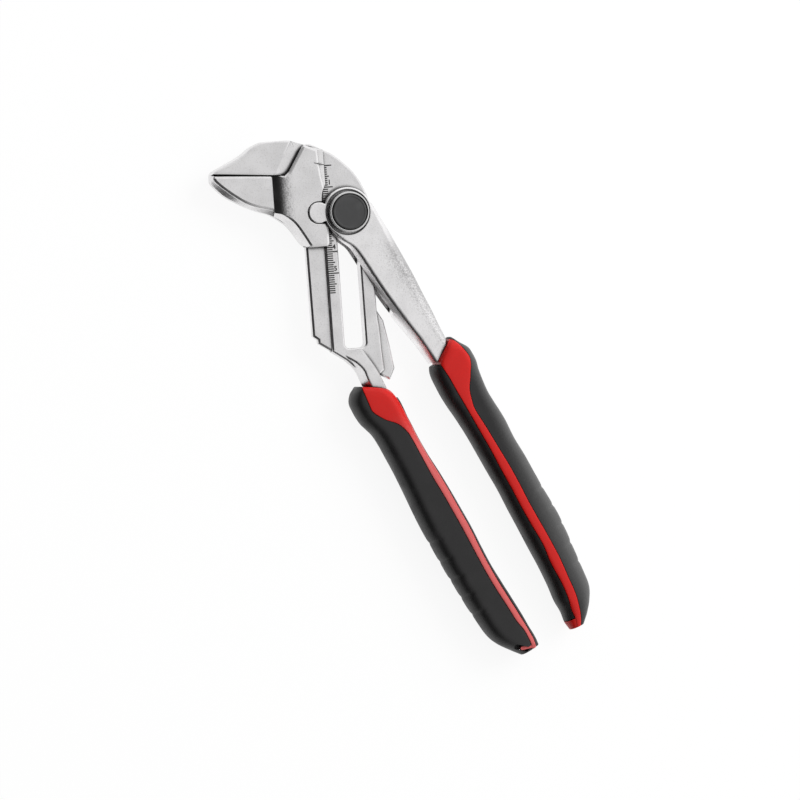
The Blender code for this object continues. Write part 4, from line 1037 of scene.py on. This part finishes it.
def fixed_handle(sizes):
    """Upper jaw, spine, slotted guide with its rack, guard, neck and tang in one forging."""
    radius = sizes.edge_round
    spine = smooth_run(scaled(SPINE_SHARES, SPINE_REACH, BAR_EDGE))
    foot = scaled(NECK_FOOT_SHARES, NECK_FOOT_REACH, BAR_EDGE, (GUIDE_LENGTH, 0))
    web = spine + smooth_run(foot[:4], (), 4) + foot[4:]
    web += [(GUIDE_LENGTH, -STEP_EDGE), (-RAIL_TOP_REACH, -STEP_EDGE),
            (-RAIL_TOP_REACH, -RAIL_EDGE), jaw_point(0, 0, -1),
            jaw_point(UPPER_BOUNDARY_SHARES[2][0] * JAW_OVERHANG, 0, -1)]
    handle = plate("handle_forging", web, WEB_HALF, radius)

    upper = (UPPER_JAW_HEIGHT, -1)
    shoulder = [between(*pair, SHOULDER_SHARE) for pair in zip(UPPER_FACE_SHARES, UPPER_MID_SHARES)]
    face = jaw_run(shoulder, *upper, CONTACT_GROOVE, (1, 7))
    crease = jaw_run(UPPER_CREASE_SHARES, *upper)
    middle = jaw_run(UPPER_MID_SHARES, *upper, corners=(1, 7))
    middle += jaw_run(UPPER_BOUNDARY_SHARES, *upper)
    knees = [WEB_HALF] * len(face) + [FACET_HALF] * len(crease)
    falls = [1] * len(face) + [0] * len(crease)
    jaw = forging("upper_jaw", face + crease, middle, JAW_HALF, WEB_HALF - STEP, radius, knees,
                  falls)

    near = -RAIL_TOP_REACH - OVERRUN
    rail = [(near, -RAIL_EDGE)] + scaled(RAIL_END_SHARES, GUIDE_LENGTH, RAIL_EDGE)
    rail += [(GUIDE_LENGTH, -SLOT_HALF - OVERRUN / 2), (near, -SLOT_HALF - OVERRUN / 2)]
    strip = plate("rail_strip", rail, RAIL_HALF, radius * RAIL_ROUND)
    guard = scaled(GUARD_SHARES, GUARD_LENGTH, GUARD_HEIGHT, (LEFT_GRIP[0][0], BAR_EDGE))
    hump = plate("pinch_guard", smooth_run(guard, (1, 2, 3, 4, 5)), RAIL_HALF - STEP, radius)

    rings = []
    for along, low, high, rise in spline(NECK_SHARES, 4):
        growth = min((along - NECK_SHARES[0][0]) / NECK_SLOPE_SHARE, 1)
        section = neck_section(low, high, rise, growth)
        rings.append(section_ring(along * NECK_LENGTH, section, LEFT_GRIP))
    neck = forged_bar("neck", rings, neck_section(*NECK_END_SHARES, 1), "left")
    combine(handle, (jaw, strip, hump, neck, tang("left_tang", "left")), "UNION")

    slot = mouth_cutter("slot_mouth", slot_outline(), MID - FORGING_HALF, 1, WEB_HALF, radius)
    rear = mouth_cutter("rear_mouth", slot_outline(), MID, -1, WEB_HALF, sizes.mouth_round)
    combine(handle, (slot, rear, rack_cutter()))
    complete(handle, "satin_forging", "fixed_side", "forged_steel", "fixed_handle")


def sliding_jaw(sizes):
    """Lower jaw with its two cheeks, the notch for the lobe and the relief round the head."""
    radius = sizes.edge_round
    lower = (LOWER_JAW_DEPTH, 1)
    face = jaw_run(LOWER_FACE_SHARES, *lower, CONTACT_GROOVE, (1,))
    middle = jaw_run(LOWER_MID_SHARES, *lower, CONTACT_GAP, (1,))
    bottom = arc((CHEEK_BOTTOM_REACH - CHEEK_CORNER_RADIUS, -CHEEK_EDGE - CHEEK_CORNER_RADIUS),
                 CHEEK_CORNER_RADIUS, 0, pi / 2, 8)
    bottom.append((-SLOPE_REACHES[0], -CHEEK_EDGE))
    side = [(-reach, -CHEEK_EDGE) for reach in SLOPE_REACHES[1:]]
    slope = [(x, y - width) for (x, y), width in zip(side, SLOPE_WIDTHS)]
    top = [(-CHEEK_TOP_REACH, -RAIL_EDGE * CHEEK_TOP_SHARES[0]),
           (CHEEK_TOP_CHAMFER - CHEEK_TOP_REACH, -RAIL_EDGE * CHEEK_TOP_SHARES[1])]
    top += jaw_outline(UPPER_BOUNDARY_SHARES[1:], UPPER_JAW_HEIGHT, -1, -GAP * 2)
    outline = face + bottom + slope + top
    knees = [RAIL_HALF + STEP] * len(outline)
    knees[-len(slope + top):-len(top)] = [FORGING_HALF - SLOPE_DROP] * len(slope)
    jaw = forging("jaw_forging", outline, middle + bottom + side + top, FORGING_HALF, RAIL_HALF,
                  radius * JAW_ROUND, knees)

    profile = [(-RAMP_TOP_EDGE, FORGING_THICKNESS)]
    for share, drop in spline(RAMP_SHARES, 6):
        place = RAMP_TOP_EDGE + (RAMP_FOOT_EDGE - RAMP_TOP_EDGE) * share
        profile.append((-place, FORGING_HALF - (FORGING_HALF - JAW_HALF) * drop))
    reach = JAW_OVERHANG + RAIL_EDGE + OVERRUN
    profile += [(-RAMP_FOOT_EDGE, -FORGING_THICKNESS), (-reach, -FORGING_THICKNESS),
                (-reach, FORGING_THICKNESS)]
    ends = (-CHEEK_TOP_REACH - OVERRUN, LOWER_JAW_DEPTH)
    ramps = [solid("ramp", [[(x, y, MID + turn * z) for y, z in profile] for x in ends])
             for turn in (-1, 1)]
    combine(jaw, ramps)
    closing = jaw_outline(TIP_ROOT_SHARES, *lower, CONTACT_GAP)
    face = jaw_run(LOWER_FACE_SHARES[:8], *lower, CONTACT_GROOVE, (1,)) + closing
    middle = jaw_run(LOWER_MID_SHARES[:8], *lower, CONTACT_GAP, (1,)) + closing
    tip = forging("jaw_tip", face, middle, JAW_HALF, RAIL_HALF, radius * TIP_ROUND,
                  [RAIL_HALF + STEP] * len(middle))
    combine(jaw, [tip], "UNION")

    far = CHEEK_TOP_REACH + OVERRUN
    near = CHEEK_BOTTOM_REACH + OVERRUN
    rib_top = RAIL_TOP_REACH - GAP * 3
    rail_side = -RAIL_EDGE - GAP
    pocket_edge = jaw_point(UPPER_BOUNDARY_SHARES[2][0] * JAW_OVERHANG + GAP, -GAP, -1)
    web_pocket = [(-far, -CHEEK_EDGE + OVERRUN), (near, -CHEEK_EDGE + OVERRUN),
                  (near, -STEP_EDGE - GAP), (-rib_top, -STEP_EDGE - GAP), (-rib_top, rail_side),
                  (-FACE_ROOT_REACH + GAP, rail_side), pocket_edge, (-far, pocket_edge[1])]
    rail_pocket = [(-rib_top - GAP, rail_side), (near, rail_side), (near, -STEP_EDGE),
                   (-rib_top - GAP, -STEP_EDGE)]
    cutters = [prism("pocket", outline, MID - half, MID + half)
               for outline, half in ((web_pocket, WEB_HALF + GAP), (rail_pocket, RAIL_HALF + GAP))]
    clear = HEAD_RADIUS + HEAD_CLEARANCE
    relief = arc((0, 0), clear, -pi / 2, pi / 2, 48)
    relief += arc((-JAW_STROKE, 0), clear, pi / 2, 3 * pi / 2, 48)
    nose = LOBE_RADIUS + GAP
    notch = arc((-LOBE_LEAD, -LOBE_OFFSET), nose, 0, -pi, 32)
    notch += [(-LOBE_LEAD - nose, OVERRUN), (-LOBE_LEAD + nose, OVERRUN)]
    cutters += [mouth_cutter("opening", outline, MID + turn * WEB_HALF, turn, FORGING_HALF,
                             sizes.mouth_round)
                for turn in (-1, 1) for outline in (relief, notch)]
    combine(jaw, cutters)
    complete(jaw, "satin_jaw", "jaw", "forged_steel", "sliding_jaw")


def head_outline():
    """Outline of the lever's round head and its lobe, with small fillets where they meet."""
    lobe = Vector((-LOBE_LEAD, -LOBE_OFFSET))
    middle = atan2(lobe.y, lobe.x)
    reach, near = HEAD_RADIUS + LOBE_FILLET, LOBE_RADIUS + LOBE_FILLET
    spread = acos((reach ** 2 + lobe.length_squared - near ** 2) / (2 * reach * lobe.length))
    fillets = []
    for turn in (middle - spread, middle + spread):
        centre = Vector((cos(turn), sin(turn))) * reach
        fillets.append((centre, atan2(lobe.y - centre.y, lobe.x - centre.x)))
    (first, towards), (last, away) = fillets
    outline = arc((0, 0), HEAD_RADIUS, middle + spread, middle + 2 * pi - spread, 84)
    outline += arc(first, LOBE_FILLET, middle - spread + pi, towards, 4)[1:-1]
    outline += arc(lobe, LOBE_RADIUS, towards + pi, 2 * middle - towards + 3 * pi, 40)
    return outline + arc(last, LOBE_FILLET, away + 2 * pi, middle + spread + pi, 4)[1:-1]


def arm_section(*shares):
    """Section of the arm from its four shares of the width and its share of the thickness."""
    *widths, rise = shares
    widths = [width * ARM_WIDTH for width in widths]
    return forged_section(*widths, rise * FORGING_HALF, ARM_SLOPE_RADIUS)


def lever(sizes):
    """Forked lever: round head with its lobe, sloped arm and tang."""
    head = plate("lever_forging", head_outline(), FORGING_HALF, sizes.edge_round * HEAD_ROUND)
    rings = [section_ring(share * ARM_LENGTH, arm_section(*row), ARM)
             for share, *row in spline(ARM_SHARES, 5)]
    arm = forged_bar("lever_arm", rings, arm_section(*ARM_END_SHARES), "right")
    combine(head, (arm, tang("right_tang", "right")), "UNION")

    mortise = scaled(MORTISE_SHARES, GUIDE_LENGTH, BAR_EDGE + GUARD_HEIGHT)
    half = WEB_HALF + GAP
    combine(head, [
        prism("mortise", mortise, MID - half, MID + half),
        prism("front_bore", circle((0, 0), SHANK_RADIUS + GAP), MID, FRONT_FACE + OVERRUN),
        mouth_cutter("counterbore", circle((0, 0), COUNTERBORE_RADIUS),
                     FRONT_FACE - COUNTERBORE_DEPTH, 1, FORGING_HALF, sizes.mouth_round / 2),
        mouth_cutter("rear_bore", circle((0, 0), COVER_BORE_RADIUS), MID, -1, FORGING_HALF,
                     sizes.mouth_round)])
    complete(head, "satin_lever", "lever", "forged_steel", "pivot_handle")


def softened(profile, radius, steps=4):
    """Closed profile whose corners off the axis are rounded over by up to a radius."""
    made = []
    for index, point in enumerate(profile):
        here = Vector(point)
        if here.x < ON_AXIS:
            made.append(tuple(here))
            continue
        ways = [Vector(profile[other % len(profile)]) - here for other in (index - 1, index + 1)]
        reach = min(radius, ways[0].length * 0.45, ways[1].length * 0.45)
        first, last = [here + way.normalized() * reach for way in ways]
        made += [tuple(bent(first, here, last, step / steps)) for step in range(steps + 1)]
    return made


def turned(name, profile, sides=128):
    """Solid of revolution about the pivot's axis, from a closed profile of radii and heights."""
    shape = bmesh.new()
    rows = []
    for radius, height in profile:
        ring = [(0, 0)] if radius < ON_AXIS else circle((0, 0), radius, sides)
        rows.append([shape.verts.new((x, y, height)) for x, y in ring])
    for lower, upper in zip(rows, rows[1:] + rows[:1]):
        if len(lower) == 1 and len(upper) == 1:
            continue
        for index in range(sides):
            after = (index + 1) % sides
            if len(lower) == 1:
                corners = (lower[0], upper[after], upper[index])
            elif len(upper) == 1:
                corners = (lower[index], lower[after], upper[0])
            else:
                corners = (lower[index], lower[after], upper[after], upper[index])
            shape.faces.new(corners)
    return from_bmesh(name, shape)


def button_pieces():
    """Turned ring with its dished top, and the dark disc set in it."""
    low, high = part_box("push_button")
    radius = high.x
    disc_low, disc_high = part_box("button_disc")
    seat = disc_high.x + GAP * 1.3
    disc_floor = high.z - DISC_SEAT_DEPTH
    screw_floor = high.z - SCREW_SEAT_DEPTH
    hollow = low.z + CAP_HOLLOW
    hub = hollow - CAP_HUB
    ring = turned("button_ring", softened([
        (radius - CAP_ROUND, low.z), (radius, low.z + CAP_ROUND), (radius, high.z - 0.0005),
        (radius - 0.0004, high.z), (seat + CAP_ROUND, high.z - 0.00005), (seat, high.z - 0.0003),
        (seat, disc_floor), (SCREW_HEAD_RADIUS, disc_floor), (SCREW_HEAD_RADIUS, screw_floor),
        (SCREW_BORE_RADIUS, screw_floor), (SCREW_BORE_RADIUS, hub), (SHANK_RADIUS, hub),
        (SHANK_RADIUS, hollow), (radius - CAP_WALL, hollow),
        (radius - CAP_WALL, low.z)], CAP_ROUND))
    complete(ring, "turned_ring", "button", "button_steel", "push_button", 40)

    rim = disc_high.x
    dish = disc_high.z - DISC_DISH
    disc = turned("button_face", softened([
        (0, disc_low.z), (rim, disc_low.z), (rim, disc_high.z - 0.0003),
        (rim - 0.00025, disc_high.z), (rim - DISC_RIM, disc_high.z),
        (rim - DISC_RIM - CAP_ROUND, dish), (0, dish)], DISC_DISH))
    complete(disc, "pressed_disc", "button", "disc_black", "button_disc", 40)


def cover_piece():
    """Pressed rear cover with its turned rim and its dished middle."""
    low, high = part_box("rear_cover")
    radius = high.x
    flange = MID - FORGING_HALF - GAP
    dish = low.z + COVER_DISH
    bore = COVER_BORE_RADIUS - GAP
    inner = SHANK_RADIUS + GAP
    cover = turned("rear_cap", softened([
        (0, dish), (radius * 0.55, dish), (radius * 0.60, low.z), (radius - COVER_CHAMFER, low.z),
        (radius, low.z + COVER_CHAMFER), (radius, flange), (bore, flange), (bore, high.z),
        (inner, high.z), (inner, flange), (0, flange)], CAP_ROUND))
    complete(cover, "turned_ring", "lever", "button_steel", "rear_cover", 40)


def side_height(across, low, high, half):
    """Height of a grip's surface, flat in the middle and round towards both sides."""
    radius = min(GRIP_EDGE_RADIUS, (high - low) / 2)
    share = min(max(radius - (high - across), radius - (across - low), 0) / radius, 1)
    return half * (1 - share ** 2.6) ** (1 / 2.2)


def palm_relief(along, depth):
    """Depth of the palm grooves and of the shallow waves between them, at one distance along."""
    made = 0
    for share in GROOVE_SHARES:
        away = along - share * GRIP_LENGTH
        wave = (away - GROOVE_HALF_WIDTH) / WAVE_HALF_WIDTH
        made += depth * (exp(-(away / GROOVE_HALF_WIDTH) ** 2) + WAVE_SHARE * exp(-wave ** 2))
    return made


def grip_rings(side, shares, columns, pull, crown=0, depth=0, steps=6):
    """Rings of one grip piece between two columns of its table."""
    grip = GRIPS[side][0]
    rings = []
    for row in spline(shares, steps):
        along = row[0] * GRIP_LENGTH
        low, high = row[4] * GRIP_WIDTH, row[1] * GRIP_WIDTH
        half = row[5] * GRIP_HALF - (0 if crown else SHELL_RELIEF)
        first = row[columns[0]] * GRIP_WIDTH + pull[0]
        last = row[columns[1]] * GRIP_WIDTH - pull[1]
        carved = palm_relief(along, depth)
        upper = []
        for step in range(SECTION_STEPS + 1):
            part = step / SECTION_STEPS
            if crown:
                share = (1 - cos(pi * part)) / 2
            elif columns[1] == 1:
                share = sin(pi / 2 * part)
            else:
                share = 1 - cos(pi / 2 * part)
            across = first + (last - first) * share
            height = side_height(across, low, high, half) - crown * (1 - sin(pi * part))
            near = max(1 - (high - across) / GROOVE_REACH, 0)
            fade = carved * near * near * (3 - 2 * near) * GROOVE_WEIGHT
            height = max(height * (1 - fade / half), RIM)
            upper.append((grip[2] * (across - fade * GROOVE_PULL), height))
        lower = [(across, -height) for across, height in reversed(upper)]
        rings.append(section_ring(along, upper + lower, grip, True))
    return rings


def sleeve(side, grow=0):
    """Inner part of the core, or with room to grow the hollow that it takes in the shells."""
    grip, shares = GRIPS[side][:2]
    rows = [[(one + other) / 2 for one, other in zip(*pair)]
            for pair in zip(shares[1:-2], shares[2:-1])]
    ends = [-grow] + [0] * (len(rows) - 2) + [grow]
    rings = []
    for row, end in zip(rows, ends):
        low = row[4] * GRIP_WIDTH + GRIP_WALL * INNER_WALL_SHARE - grow
        high = row[1] * GRIP_WIDTH - GRIP_WALL + grow
        half = min(CORE_HALF, row[5] * GRIP_HALF - GRIP_WALL) + grow
        section = [(grip[2] * across, height)
                   for across, height in rounded_section(low, high, half, SLEEVE_CORNER)]
        rings.append(section_ring(row[0] * GRIP_LENGTH + end, section, grip, True))
    return loft(f"{side}_sleeve", rings)


def end_block(ends, half_width, bottom, top):
    """Upright block with round ends, from one place of the left grip to another."""
    first, last = Vector(ends[0]), Vector(ends[1])
    turn = atan2(last.y - first.y, last.x - first.x)
    outline = arc(first, half_width, turn + pi / 2, turn + 3 * pi / 2, 12)
    outline += arc(last, half_width, turn - pi / 2, turn + pi / 2, 12)
    return prism("end_block", [in_frame(*point, LEFT_GRIP) for point in outline], bottom, top)


def grip_pieces(side, sizes):
    """Hard core with its raised stripe, palm shell and inner pad of one grip."""
    shares, _, body, first_row = GRIPS[side][1:]
    left = side == "left"
    seam = GAP / 2
    core = loft(f"{side}_core", grip_rings(side, shares, (3, 2), (seam, seam), sizes.stripe_crown))
    inner = [sleeve(side)]
    if left:
        reach = shares[-2][5] * GRIP_HALF - TONGUE_DEPTH
        inner.append(end_block(END_TONGUE, TONGUE_HALF, MID - reach, MID + reach))
    else:
        inner.append(loft("heel", grip_rings(side, shares[-3:], (4, 2), (0, seam))[6:]))
    combine(core, inner, "UNION")
    combine(core, [tang("tang_pocket", side, GAP)])
    complete(core, "bloomed_core" if left else "hard_core", body, "grip_red", f"{side}_grip_core",
             38, False)

    rings = grip_rings(side, shares, (2, 1), (seam, 0), depth=sizes.groove_depth, steps=16)
    palm = loft(f"{side}_palm", rings)
    hollows = [sleeve(side, GAP)]
    if left:
        for turn in (-1, 1):
            heights = sorted((MID + turn * WINDOW_FLOOR, MID + turn * (GRIP_HALF + OVERRUN)))
            hollows.append(end_block(END_WINDOW, WINDOW_HALF, *heights))
        grown = reach + GAP
        hollows.append(end_block(END_TONGUE, TONGUE_HALF + GAP, MID - grown, MID + grown))
    combine(palm, hollows)
    complete(palm, "soft_shell" if left else "worn_shell", body, "grip_black",
             f"{side}_palm_shell", 38, False)

    rows = shares[first_row:]
    if not left:
        rows = rows[:-2] + [(rows[-2][0] - HEEL_GAP, *rows[-2][1:])]
    pad = loft(f"{side}_pad", grip_rings(side, rows, (4, 3), (0, seam)))
    combine(pad, [sleeve(side, GAP)])
    complete(pad, "soft_shell", body, "grip_black", f"{side}_inner_pad", 38, False)


def scale_tree():
    """Geometry nodes of the opening scale: a row of marks, every fifth and tenth one longer."""
    tree, given = opened("Opening scale", "GeometryNodeTree", {
        "Count": SCALE_MARKS, "Tenth": 10, "Fifth": 5, "Pitch": 0.001, "Width": 0.0002,
        "Short": 0.0028, "Middle": 0.0036, "Long": 0.0051, "Rise": MARK_RISE, "Start": ORIGIN,
        "Finish": None})
    count, tenth, fifth, pitch, width, short, middle, long, rise, start, coating = given
    offset = signal(tree, "ShaderNodeCombineXYZ", "Vector", {"X": pitch})
    row = signal(tree, "GeometryNodeMeshLine", "Mesh",
                 {"Count": count, "Start Location": start, "Offset": offset}, mode="OFFSET")
    index = signal(tree, "GeometryNodeInputIndex", "Index")
    reach = short
    for every, longer in ((fifth, middle), (tenth, long)):
        mask = index.maths("MODULO", every).maths("LESS_THAN", 0.5)
        reach = signal(tree, "ShaderNodeMix", "Result", {"Factor": mask, "A": reach, "B": longer},
                       data_type="FLOAT")
    size = signal(tree, "ShaderNodeCombineXYZ", "Vector", {"X": width, "Y": reach, "Z": rise})
    bar = signal(tree, "GeometryNodeMeshCube", "Mesh", {"Size": (1, 1, 1)})
    bar = signal(tree, "GeometryNodeTransform", "Geometry",
                 {"Geometry": bar, "Translation": (0, 0.5, 0)})
    marks = signal(tree, "GeometryNodeInstanceOnPoints", "Instances",
                   {"Points": row, "Instance": bar, "Scale": size})
    real = signal(tree, "GeometryNodeRealizeInstances", "Geometry", {"Geometry": marks})
    coated = signal(tree, "GeometryNodeSetMaterial", "Geometry",
                    {"Geometry": real, "Material": coating})
    return closed(tree, {"Geometry": coated}, "Geometry")


def scale_marks(sizes):
    """Row of marks on the guide's left bar, made by the geometry nodes."""
    marks = linked("opening_marks", bpy.data.meshes.new("opening_marks"))
    step = marks.modifiers.new("marks", "NODES")
    step.node_group = scale_tree()
    values = {"Pitch": sizes.mark_pitch, "Width": sizes.mark_width, "Finish": finish("scale_ink"),
              "Start": (SCALE_START, SCALE_EDGE, MID + WEB_HALF)}
    for item in step.node_group.interface.items_tree:
        if item.in_out == "INPUT" and item.name in values:
            step[item.identifier] = values[item.name]
    bake(marks)
    return marks


def scale_numbers():
    """Plain figures at every tenth mark of the scale."""
    shape = bmesh.new()
    for count in range(1, 6):
        writing = bpy.data.curves.new("figure", "FONT")
        writing.body = str(count)
        writing.size = FIGURE_SIZE
        writing.offset = FIGURE_SPREAD
        writing.align_x = "CENTER"
        writing.resolution_u = 3
        writing.extrude = FIGURE_RISE
        figure = linked("figure", writing)
        bpy.context.view_layer.update()
        graph = bpy.context.evaluated_depsgraph_get()
        mesh = bpy.data.meshes.new_from_object(figure.evaluated_get(graph), depsgraph=graph)
        place = Vector((SCALE_START + count * 0.01 + FIGURE_SHIFT, FIGURE_EDGE, MID + WEB_HALF))
        mesh.transform(Matrix.Translation(place) @ Matrix.Rotation(pi / 2, 4, "Z"))
        shape.from_mesh(mesh)
        bpy.data.meshes.remove(mesh)
        bpy.data.objects.remove(figure, do_unlink=True)
    bmesh.ops.remove_doubles(shape, verts=shape.verts, dist=1e-7)
    return from_bmesh("opening_figures", shape)


def index_line():
    """Thin scribed line on the cheek that points at the scale."""
    first, last = [Vector(end) for end in INDEX_LINE]
    tip = (last - first).normalized() * INDEX_HALF
    side = (last - first).normalized().orthogonal() * INDEX_HALF
    outline = [first + side, first - tip, first - side, last - side, last + tip, last + side]
    return prism("jaw_index_line", outline, FRONT_FACE - MARK_RISE / 2, FRONT_FACE + MARK_RISE)


def camera():
    """Camera at the photograph's angle, with a long lens."""
    lens = bpy.data.cameras.new("photo_camera")
    lens.sensor_width = SENSOR_WIDTH
    lens.lens = SENSOR_WIDTH * VIEW_DISTANCE / VIEW_WIDTH
    lens.clip_start = 0.1
    lens.clip_end = 60
    made = linked("photo_camera", lens)
    right = VIEW_RIGHT.normalized()
    up = (VIEW_UP - right * VIEW_UP.dot(right)).normalized()
    back = right.cross(up)
    turn = Matrix((right, up, back)).transposed().to_4x4()
    made.matrix_world = Matrix.Translation(VIEW_CENTRE + back * VIEW_DISTANCE) @ turn
    bpy.context.scene.camera = made


def studio_world():
    """Soft studio: bright at the right, dim at the left, and plain white to the camera."""
    world = bpy.data.worlds.new("studio")
    bpy.context.scene.world = world
    world.use_nodes = True
    tree = world.node_tree
    tree.nodes.clear()
    place = signal(tree, "ShaderNodeTexCoord", "Generated")
    split = node(tree, "ShaderNodeSeparateXYZ", {"Vector": place})
    away, up = [Signal(tree, split.outputs[axis]) for axis in ("X", "Y")]
    toned = up + (away * -1.0).maths("MAXIMUM", 0) * 0.8
    level = toned.ramp(-0.34, 0.20) * 0.96 + toned.ramp(0.32, 0.80) * 0.34 + 0.02
    soft = signal(tree, "ShaderNodeBackground", "Background", {"Strength": level})
    white = signal(tree, "ShaderNodeBackground", "Background")
    seen = signal(tree, "ShaderNodeLightPath", "Is Camera Ray")
    sky = signal(tree, "ShaderNodeMixShader", "Shader", {"Fac": seen, 1: soft, 2: white})
    node(tree, "ShaderNodeOutputWorld", {"Surface": sky})


def floor_finish():
    """Pale floor that is white to the camera and in reflections, and keeps a faint shadow."""
    tree = blank("pale_floor")
    shader = tree.nodes["Principled BSDF"]
    plug(tree, shader, {"Base Color": (0.9, 0.9, 0.9, 1), "Roughness": 1, "Specular IOR Level": 0})
    glow = signal(tree, "ShaderNodeEmission", "Emission", {"Strength": 1.03})
    path = node(tree, "ShaderNodeLightPath")
    direct, glossy, through = [Signal(tree, path.outputs[f"Is {kind} Ray"])
                               for kind in ("Camera", "Glossy", "Transmission")]
    seen = direct.maths("MAXIMUM", glossy.maths("MAXIMUM", through))
    surface = signal(tree, "ShaderNodeMixShader", "Shader",
                     {"Fac": seen * 0.88, 1: Signal(tree, shader.outputs["BSDF"]), 2: glow})
    plug(tree, tree.nodes["Material Output"], {"Surface": surface})
    return bpy.data.materials["pale_floor"]


def floor():
    """Wide pale floor under the wrench."""
    shape = bmesh.new()
    rim = at_height(circle(FLOOR_MIDDLE, FLOOR_RADIUS, 64), FLOOR_HEIGHT)
    shape.faces.new([shape.verts.new(point) for point in rim])
    made = from_bmesh("floor", shape)
    if made.data.polygons[0].normal.z < 0:
        made.data.flip_normals()
    made.data.materials.append(floor_finish())


def lamp():
    """Soft lamp at the right, turned to the wrench, that leaves no spot in its steel."""
    light = bpy.data.lights.new("right_lamp", "AREA")
    light.shape = "DISK"
    light.size = LAMP_SIZE
    light.energy = LAMP_POWER
    made = linked("right_lamp", light)
    made.location = LAMP_PLACE
    made.rotation_euler = (VIEW_CENTRE - LAMP_PLACE).to_track_quat("-Z", "Y").to_euler()
    made.visible_glossy = False


class WRENCH_OT_stage(bpy.types.Operator):
    """Make the floor, the lamp, the world and the camera"""

    bl_idname = "wrench.stage"
    bl_label = "Stage"

    def execute(self, context):
        camera()
        studio_world()
        floor()
        lamp()
        return {"FINISHED"}


class WRENCH_OT_fixed_handle(bpy.types.Operator):
    """Make the fixed forging with its upper jaw, slotted guide and neck"""

    bl_idname = "wrench.fixed_handle"
    bl_label = "Fixed handle"

    def execute(self, context):
        fixed_handle(context.scene.wrench_sizes)
        return {"FINISHED"}


class WRENCH_OT_scale(bpy.types.Operator):
    """Make the marks, figures and index line of the opening scale"""

    bl_idname = "wrench.scale"
    bl_label = "Opening scale"

    def execute(self, context):
        marks = scale_marks(context.scene.wrench_sizes)
        figures = scale_numbers()
        index = index_line()
        for piece in (figures, index):
            piece.data.materials.append(finish("scale_ink"))
        for piece, body in ((marks, "fixed_side"), (figures, "fixed_side"), (index, "jaw")):
            settle(piece, body, "button_steel")
        return {"FINISHED"}


class WRENCH_OT_sliding_jaw(bpy.types.Operator):
    """Make the sliding jaw with its cheeks"""

    bl_idname = "wrench.sliding_jaw"
    bl_label = "Sliding jaw"

    def execute(self, context):
        sliding_jaw(context.scene.wrench_sizes)
        return {"FINISHED"}


class WRENCH_OT_lever(bpy.types.Operator):
    """Make the forked lever"""

    bl_idname = "wrench.lever"
    bl_label = "Lever"

    def execute(self, context):
        lever(context.scene.wrench_sizes)
        return {"FINISHED"}


class WRENCH_OT_button(bpy.types.Operator):
    """Make the push button and finish the pieces on the pivot's axis"""

    bl_idname = "wrench.button"
    bl_label = "Push button"

    def execute(self, context):
        button_pieces()
        cover_piece()
        for name in ("locking_bolt", "button_screw", "spring_washer", "return_spring"):
            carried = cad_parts[name]
            carried.data.materials.clear()
            carried.data.materials.append(finish("turned_ring"))
        return {"FINISHED"}


class WRENCH_OT_grips(bpy.types.Operator):
    """Make the core, palm shell and inner pad of both grips"""

    bl_idname = "wrench.grips"
    bl_label = "Grips"

    def execute(self, context):
        for side in GRIPS:
            grip_pieces(side, context.scene.wrench_sizes)
        return {"FINISHED"}


class WRENCH_PT_panel(bpy.types.Panel):
    """Sidebar list of the wrench's pieces and sizes"""

    bl_idname = "WRENCH_PT_panel"
    bl_label = "Pliers wrench"
    bl_space_type = "VIEW_3D"
    bl_region_type = "UI"
    bl_category = "Wrench"

    def draw(self, context):
        column = self.layout.column()
        for piece in PIECES:
            column.operator(piece.bl_idname)
        for settings in (context.scene.wrench_sizes, context.scene.wrench_finish):
            for name in settings.bl_rna.properties.keys():
                if name not in ("rna_type", "name"):
                    column.prop(settings, name)


PIECES = (WRENCH_OT_stage, WRENCH_OT_fixed_handle, WRENCH_OT_scale, WRENCH_OT_sliding_jaw,
          WRENCH_OT_lever, WRENCH_OT_button, WRENCH_OT_grips)
CLASSES = (WrenchSizes, WrenchFinish) + PIECES + (WRENCH_PT_panel,)


def register():
    """Register the classes and hang the settings on the scene."""
    for kind in CLASSES:
        bpy.utils.register_class(kind)
    bpy.types.Scene.wrench_sizes = bpy.props.PointerProperty(type=WrenchSizes)
    bpy.types.Scene.wrench_finish = bpy.props.PointerProperty(type=WrenchFinish)


def unregister():
    """Take the settings and the classes away again."""
    del bpy.types.Scene.wrench_finish
    del bpy.types.Scene.wrench_sizes
    for kind in reversed(CLASSES):
        bpy.utils.unregister_class(kind)


def main():
    """Make every piece in order."""
    bpy.context.scene.view_settings.view_transform = "Standard"
    register()
    bpy.ops.wrench.stage()
    bpy.ops.wrench.fixed_handle()
    bpy.ops.wrench.scale()
    bpy.ops.wrench.sliding_jaw()
    bpy.ops.wrench.lever()
    bpy.ops.wrench.button()
    bpy.ops.wrench.grips()


if __name__ == "__main__":
    main()
